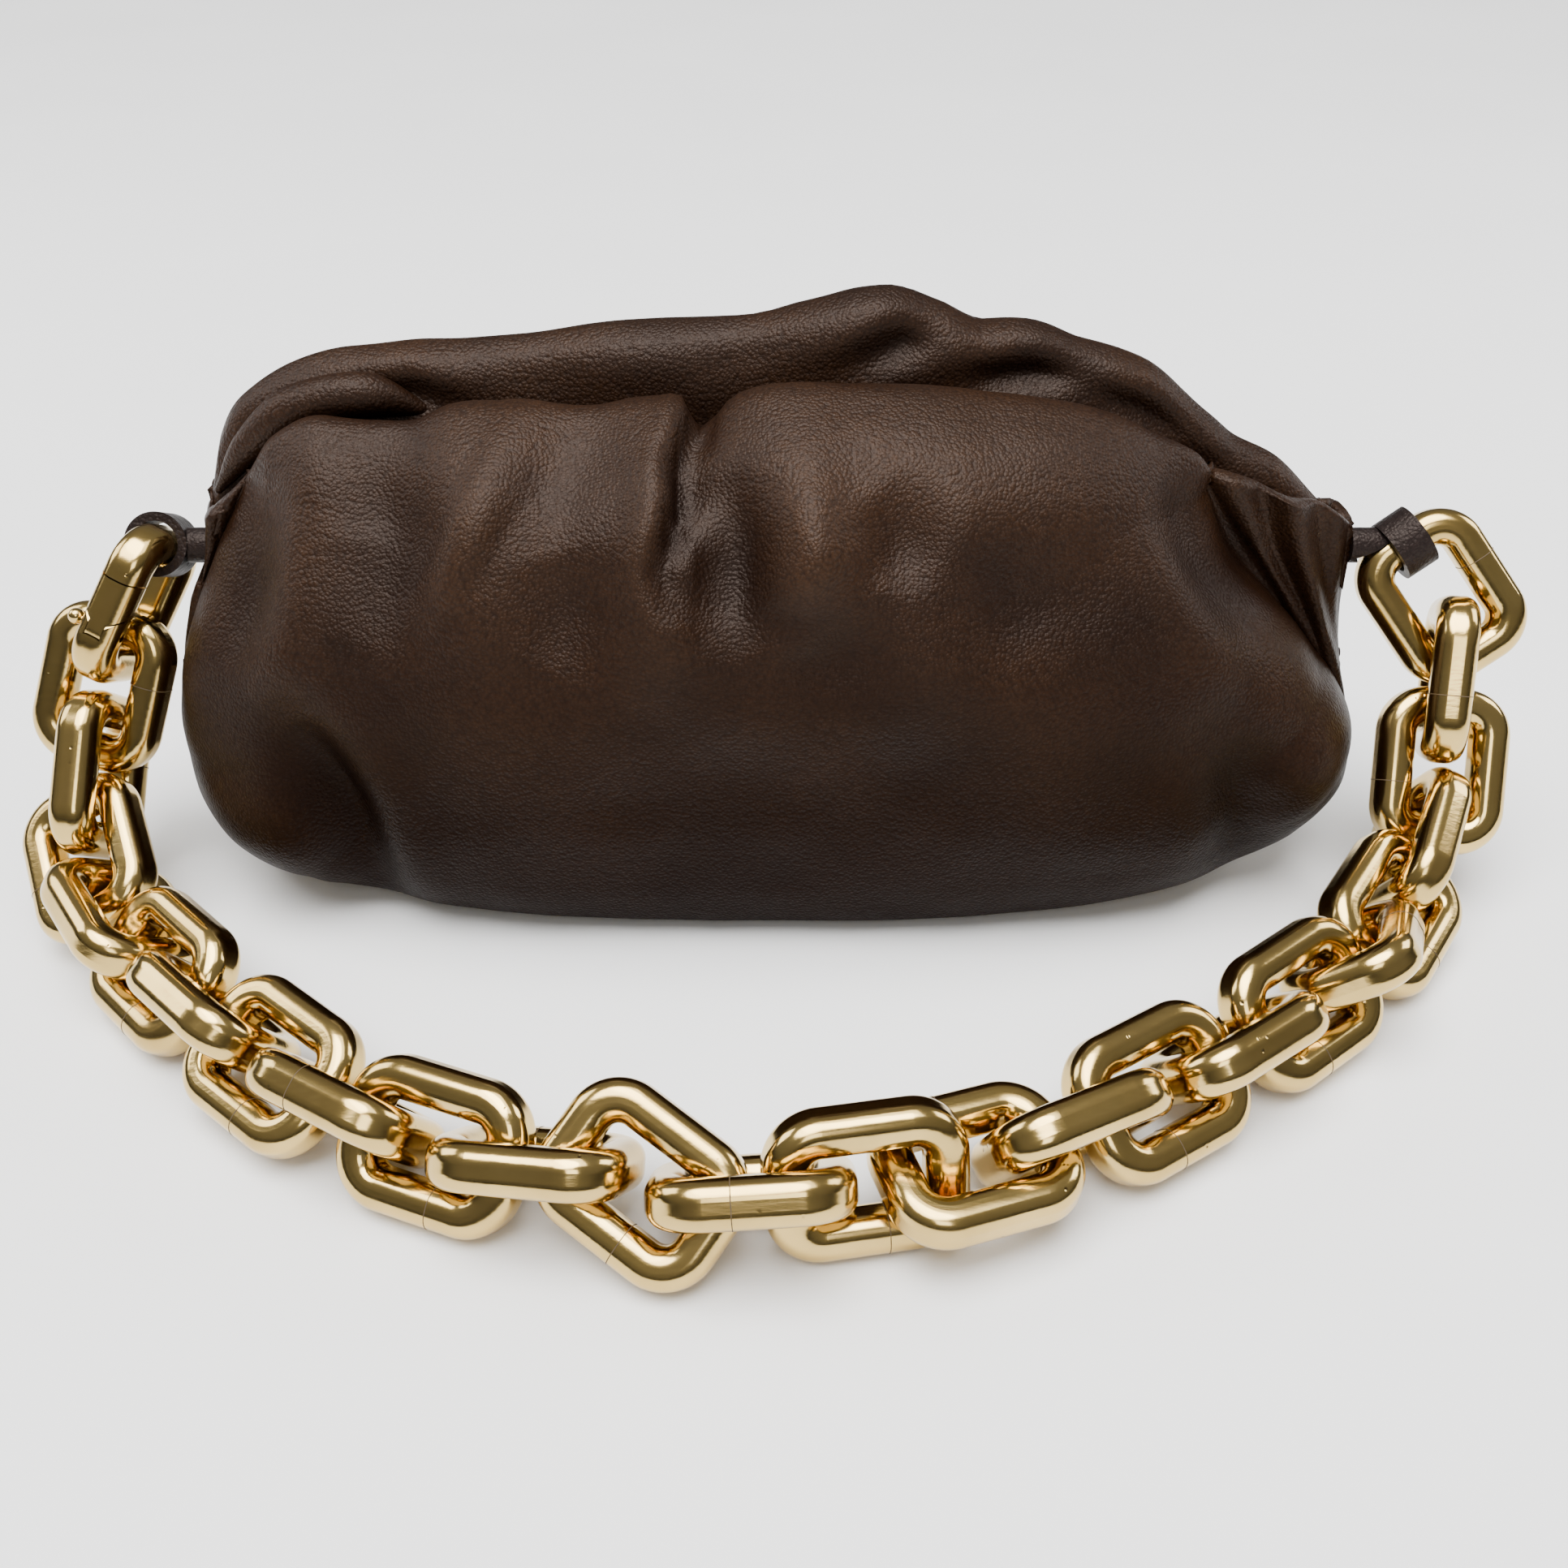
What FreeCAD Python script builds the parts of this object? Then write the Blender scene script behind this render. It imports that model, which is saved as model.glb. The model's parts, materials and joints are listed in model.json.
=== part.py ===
"""A soft leather shoulder bag on a chunky chain strap, as a parametric document.

Millimetres. X runs along the bag, Y to the back, Z up; the origin is the middle of the flat base.
"""
import FreeCAD
import Part
import Sketcher
import math
import os

from FreeCAD import Placement, Rotation, Vector

X_AXIS = Vector(1, 0, 0)
Y_AXIS = Vector(0, 1, 0)
Z_AXIS = Vector(0, 0, 1)

# Driving dimensions, in millimetres and degrees.
SIZES = {
    # Lower pouch: half sizes at its belly, and how far the other outlines draw in from there.
    "pouch_half_length": 163.0,
    "pouch_half_depth": 62.0,
    "belly_height": 44.0,
    "side_bow": 9.0,
    "base_end_inset": 34.0,
    "base_side_inset": 20.0,
    "foot_height": 9.0,
    "foot_end_inset": 14.0,
    "foot_side_inset": 8.0,
    "rim_end_inset": 9.0,
    "rim_rise": 4.0,
    "leather_wall": 3.0,
    "lining_wall": 1.0,
    "layer_gap": 0.3,
    "board_thickness": 2.0,
    "board_margin": 16.0,
    # Gathered lips that close the mouth.
    "hinge_height": 92.0,
    "lip_play": 1.2,
    "lip_end_play": 1.9,
    "lip_end_overrun": 6.0,
    "front_lip_rise": 50.0,
    "back_lip_rise": 57.0,
    "lip_parting": 0.8,
    # Sprung metal frame inside the lips.
    "jaw_thickness": 3.5,
    "jaw_bar": 5.0,
    "jaw_rise": 32.0,
    "leg_rise": 5.2,
    "jaw_parting": 6.0,
    "jaw_play": 0.4,
    "eye_radius": 4.4,
    "eye_gap": 0.5,
    "pin_radius": 2.0,
    "pin_play": 0.2,
    "block_thickness": 3.0,
    "block_width": 11.0,
    "block_gap": 0.8,
    "block_reach": 6.0,
    "magnet_radius": 4.5,
    "magnet_spacing": 56.0,
    "magnet_parting": 0.8,
    # Chain links.
    "link_length": 46.2,
    "link_width": 36.0,
    "link_bar": 10.0,
    "link_depth": 11.4,
    "link_rounding": 4.4,
    "link_inner_radius": 3.0,
    "link_play": 1.0,
    "link_gap": 0.7,
    # Leather tabs that hold the end links.
    "tab_wall": 2.5,
    "tab_width": 9.0,
    "tab_play": 0.6,
    "tab_root_radius": 4.8,
    "tab_gap": 0.5,
    "tab_reach": 16.4,
    # Spring gate of the first link.
    "gate_length": 15.0,
    "gate_gap": 0.4,
    "gate_tongue": 4.4,
    "gate_pin_radius": 1.2,
    "gate_ball_radius": 2.2,
}

# Sizes that follow from the driving ones.
FOLLOWING_SIZES = {
    "base_half_length": "pouch_half_length - base_end_inset",
    "base_half_depth": "pouch_half_depth - base_side_inset",
    "foot_half_length": "pouch_half_length - foot_end_inset",
    "foot_half_depth": "pouch_half_depth - foot_side_inset",
    "rim_half_length": "pouch_half_length - rim_end_inset",
    "rim_height": "hinge_height + rim_rise",
    "layers": "leather_wall + layer_gap + lining_wall",
    "lip_end_half_length": "rim_half_length - layers - block_gap - block_thickness - lip_end_play",
    "lip_half_length": "lip_end_half_length + lip_end_overrun",
    "lip_half_depth": "pouch_half_depth - layers - lip_play",
}

# Lobes that each lip is gathered into: the shares of its half length between which a lobe runs,
# then how much shallower and lower it is than the lip's full depth and rise.
LIP_LOBES = {
    "front_lip": [(-1.0, 1.0, 4.5, 10.0), (-1.0, 0.16, 4.6, 5.0), (-0.36, 0.787, 1.6, 0.0)],
    "back_lip": [(-1.0, 1.0, 2.5, 13.0), (-1.0, 0.16, 4.6, 6.0), (-0.40, 0.80, 1.6, 0.0)],
}

# How the chain lies: points on its line as (share of the half span between tabs, way forward, height).
STRAP_ROUTE = [
    (-1.07, 10.6, 72.0),
    (-1.12, 21.2, 48.0),
    (-1.135, 38.1, 27.0),
    (-1.07, 61.4, 17.0),
    (-0.88, 97.4, 16.0),
    (-0.62, 135.5, 16.0),
    (-0.30, 157.7, 16.0),
    (0.00, 163.0, 16.0),
    (0.30, 151.4, 16.0),
    (0.60, 121.8, 16.0),
    (0.84, 88.9, 16.0),
    (0.99, 57.2, 17.0),
    (1.06, 34.9, 27.0),
    (1.075, 21.2, 50.0),
    (1.10, 10.6, 72.0),
]

# Roll of each link about the chain line (0 faces the front, 90 is edge on) and its turn in its own plane,
# in degrees, over and over along the chain.
LINK_LAY = [
    (90, 0), (5, 0), (95, 0), (10, 0), (-70, 0), (-5, 0), (80, 0), (-15, 0), (75, 0),
    (0, 0), (88, 0), (0, -40), (85, 0), (15, 0), (-45, 0), (-105, 0), (-10, 0),
    (85, 0), (0, 0), (90, -30), (0, 0), (90, 0), (5, 0), (75, 0), (-10, 0),
]
# The side that a facing link shows: forward and up.
FRONT_FACE = Vector(0, -0.82, 0.57)
CLASP = "link_01"

document = FreeCAD.newDocument("chain_shoulder_bag")
sheet = document.addObject("Spreadsheet::Sheet", "sizes")
sub_parts = []


def fill_sheet():
    """Write every size into the sheet, one named cell each."""
    cells = {name: repr(value) for name, value in SIZES.items()}
    cells.update({name: "=" + formula for name, formula in FOLLOWING_SIZES.items()})
    for row, (name, content) in enumerate(cells.items(), start=1):
        sheet.set("A%d" % row, name)
        sheet.setAlias("B%d" % row, name)
        sheet.set("B%d" % row, content)
    document.recompute()


def size(name):
    """Read one size from the sheet."""
    return float(sheet.get(name))


def bind(item, **expressions):
    """Tie properties of an object to expressions over the sheet."""
    for name, expression in expressions.items():
        item.setExpression(name.replace("__", "."), expression)


def keep(item, label):
    """Name an object as one sub-part of the bag."""
    item.Label = label
    sub_parts.append(item)
    return item


def add_box(name, span_x, span_y, span_z):
    """Make a box from (low, high) expressions along each axis."""
    box = document.addObject("Part::Box", name)
    bind(box, Length="(%s) - (%s)" % span_x[::-1], Width="(%s) - (%s)" % span_y[::-1])
    bind(box, Height="(%s) - (%s)" % span_z[::-1])
    bind(box, Placement__Base__x=span_x[0], Placement__Base__y=span_y[0], Placement__Base__z=span_z[0])
    return box


def add_cylinder(name, radius, height, base, direction=Z_AXIS):
    """Make a cylinder from expressions; base holds the three coordinates of its first end."""
    cylinder = document.addObject("Part::Cylinder", name)
    cylinder.Placement = Placement(Vector(), Rotation(Z_AXIS, direction))
    bind(cylinder, Radius=radius, Height=height)
    bind(cylinder, Placement__Base__x=base[0], Placement__Base__y=base[1], Placement__Base__z=base[2])
    return cylinder


def add_ellipsoid(name, half_x, half_y, half_z, middle="0"):
    """Make an ellipsoid about the mouth hinge line, with its middle at a place along it."""
    body = document.addObject("Part::Ellipsoid", name)
    body.Angle1 = -90
    body.Angle2 = 90
    bind(body, Radius1=half_z, Radius2=half_x, Radius3=half_y)
    bind(body, Placement__Base__x=middle, Placement__Base__z="sizes.hinge_height")
    return body


def cut(name, base, tool):
    """Take one solid away from another."""
    result = document.addObject("Part::Cut", name)
    result.Base = base
    result.Tool = tool
    return result


def common(name, first, second):
    """Keep what two solids share."""
    result = document.addObject("Part::MultiCommon", name)
    result.Shapes = [first, second]
    return result


def fuse(name, *pieces):
    """Join solids into one piece."""
    result = document.addObject("Part::MultiFuse", name)
    result.Shapes = list(pieces)
    return result


def group(name, *pieces):
    """Hold separate solids of one kind as one sub-part."""
    result = document.addObject("Part::Compound", name)
    result.Links = list(pieces)
    return result


def rounded_rectangle(sketch, prefix, half_x, half_y, radius):
    """Draw a centred rounded rectangle; each size is a (value, expression) pair."""
    first = sketch.GeometryCount
    reach_x, reach_y, bend = half_x[0], half_y[0], radius[0]
    inner_x = reach_x - bend
    inner_y = reach_y - bend
    corners = [
        (inner_x, -inner_y, -90),
        (inner_x, inner_y, 0),
        (-inner_x, inner_y, 90),
        (-inner_x, -inner_y, 180),
    ]
    ends = []
    for x, y, start in corners:
        begin = math.radians(start)
        finish = math.radians(start + 90)
        ends.append((
            Vector(x + bend * math.cos(begin), y + bend * math.sin(begin), 0),
            Vector(x + bend * math.cos(finish), y + bend * math.sin(finish), 0),
        ))
    for side in range(4):
        sketch.addGeometry(Part.LineSegment(ends[side - 1][1], ends[side][0]), False)
    for x, y, start in corners:
        circle = Part.Circle(Vector(x, y, 0), Z_AXIS, bend)
        sketch.addGeometry(Part.ArcOfCircle(circle, math.radians(start), math.radians(start + 90)), False)
    constrain(sketch, "Horizontal", first)
    constrain(sketch, "Vertical", first + 1)
    constrain(sketch, "Horizontal", first + 2)
    constrain(sketch, "Vertical", first + 3)
    for side in range(4):
        line = first + side
        arc = first + 4 + side
        following = first + (side + 1) % 4
        constrain(sketch, "Tangent", line, 2, arc, 1)
        constrain(sketch, "Tangent", arc, 2, following, 1)
    for other in (5, 6, 7):
        constrain(sketch, "Equal", first + 4, first + other)
    named = (
        ("radius", radius, ("Radius", first + 4, bend)),
        ("right", half_x, ("DistanceX", -1, 1, first + 1, 1, reach_x)),
        ("top", half_y, ("DistanceY", -1, 1, first + 2, 1, reach_y)),
        ("left", half_x, ("DistanceX", first + 3, 1, -1, 1, reach_x)),
        ("bottom", half_y, ("DistanceY", first, 1, -1, 1, reach_y)),
    )
    for name, pair, constraint in named:
        index = constrain(sketch, *constraint)
        sketch.renameConstraint(index, prefix + name)
        sketch.setExpression("Constraints." + prefix + name, pair[1])


def oval(sketch, prefix, half_x, half_y, end_radius):
    """Draw a centred oval of four arcs that run smoothly on; each size is a (value, expression) pair."""
    right, top, left, bottom = range(sketch.GeometryCount, sketch.GeometryCount + 4)
    reach = half_x[0] - end_radius[0]
    long_radius = (reach ** 2 + half_y[0] ** 2 - end_radius[0] ** 2) / (2 * (half_y[0] - end_radius[0]))
    drop = long_radius - half_y[0]
    meet = math.atan2(drop, reach)
    arcs = (
        (Vector(reach, 0, 0), end_radius[0], -meet, meet),
        (Vector(0, -drop, 0), long_radius, meet, math.pi - meet),
        (Vector(-reach, 0, 0), end_radius[0], math.pi - meet, math.pi + meet),
        (Vector(0, drop, 0), long_radius, math.pi + meet, 2 * math.pi - meet),
    )
    for centre, radius, begin, finish in arcs:
        circle = Part.Circle(centre, Z_AXIS, radius)
        sketch.addGeometry(Part.ArcOfCircle(circle, begin, finish), False)
    for arc, before, after in ((top, (right, 2), (left, 1)), (bottom, (left, 2), (right, 1))):
        constrain(sketch, "Coincident", arc, 1, *before)
        constrain(sketch, "Coincident", arc, 2, *after)
    words = {"x": half_x[1], "y": half_y[1], "r": end_radius[1]}
    words["reach"] = "((%(x)s) - (%(r)s))" % words
    squares = "%(reach)s ^ 2 + (%(y)s) ^ 2 - (%(r)s) ^ 2" % words
    words["drop"] = "((%s) / (2 * ((%s) - (%s))) - (%s))" % (squares, words["y"], words["r"], words["y"])
    words["share"] = "(%(r)s) / sqrt(%(reach)s ^ 2 + %(drop)s ^ 2)" % words
    meet_x = "%(reach)s * (1 + %(share)s)" % words
    meet_y = "%(drop)s * %(share)s" % words
    middle = (-1, 1)
    for label, end, upper, lower in (("right_", right, 2, 1), ("left_", left, 1, 2)):
        constrain(sketch, "PointOnObject", end, 3, -1)
        for place, point, expression in (("centre", 3, words["reach"]), ("meet", upper, meet_x)):
            points = middle + (end, point) if end == right else (end, point) + middle
            dimension(sketch, prefix + label + place, expression, "DistanceX", *points)
        dimension(sketch, prefix + label + "upper", meet_y, "DistanceY", *middle, end, upper)
        dimension(sketch, prefix + label + "lower", meet_y, "DistanceY", end, lower, *middle)
    dimension(sketch, prefix + "top_drop", words["drop"], "DistanceY", top, 3, *middle)
    dimension(sketch, prefix + "bottom_drop", words["drop"], "DistanceY", *middle, bottom, 3)


def constrain(sketch, *arguments):
    """Add one constraint to a sketch and return its index."""
    return sketch.addConstraint(Sketcher.Constraint(*arguments))


def dimension(sketch, name, expression, kind, *points):
    """Measure a sketch between two of its points, name the measure and tie it to an expression."""
    ends = [sketch.getPoint(*points[at : at + 2]) for at in (0, 2)]
    span = ends[1] - ends[0]
    index = constrain(sketch, kind, *points, span.x if kind == "DistanceX" else span.y)
    sketch.renameConstraint(index, name)
    sketch.setExpression("Constraints." + name, expression)


def pouch_loft(name, inset, over_rim):
    """Loft the pouch's outline, drawn in by an inset (value, expression), up past its rim."""
    depth, text = inset
    levels = (
        ("base", "base_half_length", "base_half_depth", text),
        ("foot", "foot_half_length", "foot_half_depth", "sizes.foot_height"),
        ("belly", "pouch_half_length", "pouch_half_depth", "sizes.belly_height"),
        ("shoulder", "rim_half_length", "pouch_half_depth", "sizes.hinge_height - sizes.block_reach"),
        ("rim", "rim_half_length", "pouch_half_depth", "sizes.rim_height + " + over_rim),
    )
    sections = []
    for level, length, width, height in levels:
        sketch = document.addObject("Sketcher::SketchObject", "%s_%s" % (name, level))
        half_x, half_y = [(size(key) - depth, "sizes.%s - (%s)" % (key, text)) for key in (length, width)]
        end_radius = (half_y[0] - size("side_bow"), half_y[1] + " - sizes.side_bow")
        oval(sketch, level + "_", half_x, half_y, end_radius)
        bind(sketch, Placement__Base__z=height)
        sections.append(sketch)
    loft = document.addObject("Part::Loft", name)
    loft.Sections = sections
    loft.Solid = True
    return loft


def make_pouch():
    """Make the lower leather pouch, its lining and the board in its base."""
    wall = size("leather_wall")
    within_wall = (wall, "sizes.leather_wall")
    on_wall = (wall + size("layer_gap"), "sizes.leather_wall + sizes.layer_gap")
    within_lining = (size("layers"), "sizes.layers")
    over = "sizes.layer_gap"
    outer = pouch_loft("pouch_outer", (0.0, "0"), "0")
    hollow = pouch_loft("pouch_hollow", within_wall, over)
    lining_outer = pouch_loft("lining_outer", on_wall, "0")
    lining_hollow = pouch_loft("lining_hollow", within_lining, over)
    reach = "2 * (sizes.pouch_half_length + sizes.leather_wall)"
    start = ("-(sizes.pouch_half_length + sizes.leather_wall)", "0", "sizes.hinge_height")
    bores = [
        add_cylinder(name, "sizes.pin_radius + sizes.pin_play", reach, start, X_AXIS)
        for name in ("pouch_bore", "lining_bore")
    ]
    shell = cut("pouch_walls", outer, hollow)
    keep(cut("pouch_shell_bored", shell, bores[0]), "pouch_shell")
    lining_walls = cut("lining_walls", lining_outer, lining_hollow)
    keep(cut("lining_bored", lining_walls, bores[1]), "lining")
    keep(make_board(within_lining), "base_board")


def make_board(inset):
    """Make the stiff board that lies on the lining."""
    depth, text = inset
    body = document.addObject("PartDesign::Body", "board_body")
    sketch = plan_sketch(body, "board_outline")
    margin = size("board_margin")
    pairs = [
        (size(key) - depth - margin, "sizes.%s - (%s) - sizes.board_margin" % (key, text))
        for key in ("base_half_length", "base_half_depth")
    ]
    bend = (size("board_margin"), "sizes.board_margin")
    rounded_rectangle(sketch, "board_", pairs[0], pairs[1], bend)
    pad = body.newObject("PartDesign::Pad", "board_pad")
    pad.Profile = sketch
    bind(pad, Length="sizes.board_thickness")
    bind(body, Placement__Base__z=text + " + sizes.layer_gap")
    return body


def plan_sketch(body, name):
    """Start a sketch on the XY plane of a body."""
    sketch = body.newObject("Sketcher::SketchObject", name)
    plane = [item for item in body.Origin.OriginFeatures if item.Role == "XY_Plane"][0]
    sketch.AttachmentSupport = (plane, "")
    sketch.MapMode = "FlatFace"
    return sketch


def make_lip(name, side, rise):
    """Make one gathered lip: lobed quarter domes about the hinge line, in front (-1) or behind (1)."""
    wall = "sizes.leather_wall"
    outers = []
    inners = []
    for index, (start, stop, shallower, lower) in enumerate(LIP_LOBES[name]):
        middle = "%g * sizes.lip_half_length" % ((start + stop) / 2)
        half_x = "%g * sizes.lip_half_length" % ((stop - start) / 2)
        halves = [half_x, "sizes.lip_half_depth - %g" % shallower, "%s - %g" % (rise, lower)]
        outers.append(add_ellipsoid("%s_lobe_%d" % (name, index), *halves, middle))
        within = ["%s - %s" % (half, wall) for half in halves]
        inners.append(add_ellipsoid("%s_hollow_%d" % (name, index), *within, middle))
    far = "sizes.lip_half_depth + %s" % wall
    near = "sizes.lip_parting / 2"
    span_y = (near, far) if side > 0 else ("-(%s)" % far, "-(%s)" % near)
    span_x = ("-sizes.lip_end_half_length", "sizes.lip_end_half_length")
    span_z = ("sizes.hinge_height", "sizes.hinge_height + %s + %s" % (rise, wall))
    window = add_box(name + "_window", span_x, span_y, span_z)
    shell = cut(name + "_dome", fuse(name + "_lobes", *outers), fuse(name + "_hollows", *inners))
    keep(common(name + "_quarter", shell, window), name)


def make_jaw(name, side, eye_outer):
    """Make one arched bar of the frame with an eye at each end; eye_outer is the eye's outer end in X."""
    inset = "(sizes.leather_wall + sizes.jaw_play)"
    plan = ["%s - %s" % (half, inset) for half in ("sizes.lip_half_length", "sizes.lip_half_depth")]
    halves = plan + ["sizes.jaw_rise"]
    outer = add_ellipsoid(name + "_outer", *halves)
    inner = add_ellipsoid(name + "_inner", *[half + " - sizes.jaw_bar" for half in halves])
    near = "sizes.jaw_parting / 2"
    far = near + " + sizes.jaw_thickness"
    span_y = (near, far) if side > 0 else ("-(%s)" % far, "-(%s)" % near)
    top = "sizes.hinge_height + sizes.jaw_rise"
    window = add_box(name + "_window", ("-(%s)" % eye_outer, eye_outer), span_y, ("sizes.hinge_height", top))
    arch = common(name + "_arch", cut(name + "_shell", outer, inner), window)
    eye_inner = "%s - sizes.jaw_thickness" % eye_outer
    pieces = [arch]
    left_eye = ("left", "-(%s)" % eye_outer, "-(%s)" % eye_inner)
    for end, low, high in (left_eye, ("right", eye_inner, eye_outer)):
        base = (low, "0", "sizes.hinge_height")
        eye = "%s_%s_eye" % (name, end)
        pieces.append(add_cylinder(eye, "sizes.eye_radius", "sizes.jaw_thickness", base, X_AXIS))
        span_z = ("sizes.hinge_height", "sizes.hinge_height + sizes.leg_rise")
        pieces.append(add_box("%s_%s_leg" % (name, end), (low, high), span_y, span_z))
    bar = fuse(name + "_solid", *pieces)
    reach = "2 * (%s)" % eye_outer
    bore_base = ("-(%s)" % eye_outer, "0", "sizes.hinge_height")
    bore = add_cylinder(name + "_bore", "sizes.pin_radius + sizes.pin_play", reach, bore_base, X_AXIS)
    keep(cut(name + "_bored", bar, bore), name)
    make_magnets(name, side)


def make_magnets(jaw, side):
    """Set closing magnets against the inner face of a jaw, under the top of its arch."""
    rise = "(sizes.jaw_rise - sizes.jaw_bar)"
    span = "(sizes.lip_half_length - sizes.leather_wall - sizes.jaw_play - sizes.jaw_bar)"
    thickness = "(sizes.jaw_parting - sizes.magnet_parting) / 2"
    start = "sizes.magnet_parting / 2" if side > 0 else "-sizes.jaw_parting / 2"
    discs = []
    for index, step in enumerate((-1, 0, 1)):
        place = "%d * sizes.magnet_spacing" % step
        height = "sizes.hinge_height + %s * sqrt(1 - (%s / %s) ^ 2)" % (rise, place, span)
        base = (place, start, height)
        disc = "%s_magnet_%d" % (jaw, index)
        discs.append(add_cylinder(disc, "sizes.magnet_radius", thickness, base, Y_AXIS))
    keep(group(jaw + "_magnet_set", *discs), jaw.replace("jaw", "magnets"))


def make_hinges():
    """Make the hinge pins and the blocks that hold them in the pouch's ends."""
    outer = "sizes.rim_half_length - sizes.layers - sizes.block_gap"
    inner = "%s - sizes.block_thickness" % outer
    pin_inner = "sizes.lip_end_half_length - 2 * sizes.jaw_thickness - 2 * sizes.eye_gap"
    pin_outer = "sizes.rim_half_length + sizes.tab_gap + sizes.pin_radius"
    blocks = []
    pins = []
    for end, sign in (("left", -1), ("right", 1)):
        low, high = (inner, outer) if sign > 0 else ("-(%s)" % outer, "-(%s)" % inner)
        span_y = ("-sizes.block_width / 2", "sizes.block_width / 2")
        span_z = ("sizes.hinge_height - sizes.block_reach", "sizes.hinge_height + sizes.block_reach")
        block = add_box(end + "_block_solid", (low, high), span_y, span_z)
        base = (low, "0", "sizes.hinge_height")
        bore = add_cylinder(end + "_block_bore", "sizes.pin_radius", "sizes.block_thickness", base, X_AXIS)
        blocks.append(cut(end + "_block", block, bore))
        start = pin_inner if sign > 0 else "-(%s)" % pin_outer
        length = "(%s) - (%s)" % (pin_outer, pin_inner)
        place = (start, "0", "sizes.hinge_height")
        pins.append(add_cylinder(end + "_pin", "sizes.pin_radius", length, place, X_AXIS))
    keep(group("hinge_block_pair", *blocks), "hinge_blocks")
    keep(group("hinge_pin_pair", *pins), "hinge_pins")


def make_link_body(name):
    """Make one chain link about its own centre: a rounded ring with softened edges, long in X."""
    body = document.addObject("PartDesign::Body", name + "_body")
    sketch = plan_sketch(body, name + "_outline")
    length = size("link_length")
    width = size("link_width")
    bar = size("link_bar")
    bend = size("link_inner_radius")
    outer = (
        (length / 2, "sizes.link_length / 2"),
        (width / 2, "sizes.link_width / 2"),
        (bend + bar, "sizes.link_inner_radius + sizes.link_bar"),
    )
    inner = (
        (length / 2 - bar, "sizes.link_length / 2 - sizes.link_bar"),
        (width / 2 - bar, "sizes.link_width / 2 - sizes.link_bar"),
        (bend, "sizes.link_inner_radius"),
    )
    rounded_rectangle(sketch, "outer_", *outer)
    rounded_rectangle(sketch, "inner_", *inner)
    pad = body.newObject("PartDesign::Pad", name + "_pad")
    pad.Profile = sketch
    pad.Midplane = True
    bind(pad, Length="sizes.link_depth")
    document.recompute()
    flats = [
        "Face%d" % index
        for index, face in enumerate(pad.Shape.Faces, start=1)
        if abs(face.normalAt(0, 0).z) > 0.99
    ]
    rounding = body.newObject("PartDesign::Fillet", name + "_rounding")
    rounding.Base = (pad, flats)
    bind(rounding, Radius="sizes.link_rounding")
    return body


def link_outline():
    """List points along a link's centre line, in its own plane, three steps to each corner."""
    bar = size("link_bar")
    bend = size("link_inner_radius") + bar / 2
    reach_x = (size("link_length") - bar) / 2 - bend
    reach_y = (size("link_width") - bar) / 2 - bend
    points = []
    for sign_x, sign_y, start in ((1, 1, 0), (-1, 1, 90), (-1, -1, 180), (1, -1, 270)):
        for step in (0, 30, 60, 90):
            angle = math.radians(start + step)
            along = sign_x * reach_x + bend * math.cos(angle)
            across = sign_y * reach_y + bend * math.sin(angle)
            points.append((along, across))
    return points


def strap_joints(pitch):
    """Space the chain's joints evenly along its route, drawn forward until whole links fill it."""
    half_span = size("rim_half_length") + size("tab_reach")
    height = size("hinge_height")
    ends = [Vector(-half_span, 0, height), Vector(half_span, 0, height)]
    hang = (size("link_length") - size("link_bar") - pitch) / 2

    def route(reach):
        points = [Vector(share * half_span, -reach * forward, up) for share, forward, up in STRAP_ROUTE]
        first = ends[0] + (points[0] - ends[0]).normalize() * hang
        last = ends[1] + (points[-1] - ends[1]).normalize() * hang
        curve = Part.BSplineCurve()
        curve.interpolate([first] + points + [last])
        return curve

    count = round(route(1.0).length() / pitch)
    low, high = 0.5, 2.0
    for _ in range(30):
        middle = (low + high) / 2
        if route(middle).length() < count * pitch:
            low = middle
        else:
            high = middle
    print("chain drawn forward by %.6f" % low)
    return route(low).discretize(Number=count + 1)


class LinkPose:
    """Where one link lies: its centre and the directions along and across it."""

    def __init__(self, centre, along, across, pinned):
        self.centre = centre
        self.along = along
        self.across = across
        self.pinned = pinned
        self.refresh()

    def refresh(self):
        """Square up the directions and place the centre line."""
        self.along.normalize()
        self.across = (self.across - self.along * self.along.dot(self.across)).normalize()
        self.normal = self.along.cross(self.across)
        self.points = [self.centre + self.along * u + self.across * v for u, v in OUTLINE]

    def push(self, point, shift):
        """Move the link by a shift applied at one of its points, which turns it too."""
        if self.pinned:
            return
        arm = point - self.centre
        twist = arm.cross(shift) * (1.0 / GYRATION ** 2)
        self.centre = self.centre + shift
        self.along = self.along + twist.cross(self.along)
        self.across = self.across + twist.cross(self.across)
        self.refresh()

    def ease(self, point, direction):
        """Say how readily the link gives way at a point."""
        if self.pinned:
            return 0.0
        arm = point - self.centre
        return 1.0 + (arm.cross(direction).Length / GYRATION) ** 2

    def half_thickness(self, direction):
        """Give the bar's half thickness in a direction."""
        sine = min(1.0, abs(direction.dot(self.normal)))
        cosine = math.sqrt(1.0 - sine * sine)
        return ROUNDING + sine * FLAT_DEPTH + cosine * FLAT_BAR

    def placement(self):
        """Give the link's placement in the bag."""
        return Placement(self.centre, Rotation(self.along, self.across, self.normal, "XYZ"))


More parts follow.
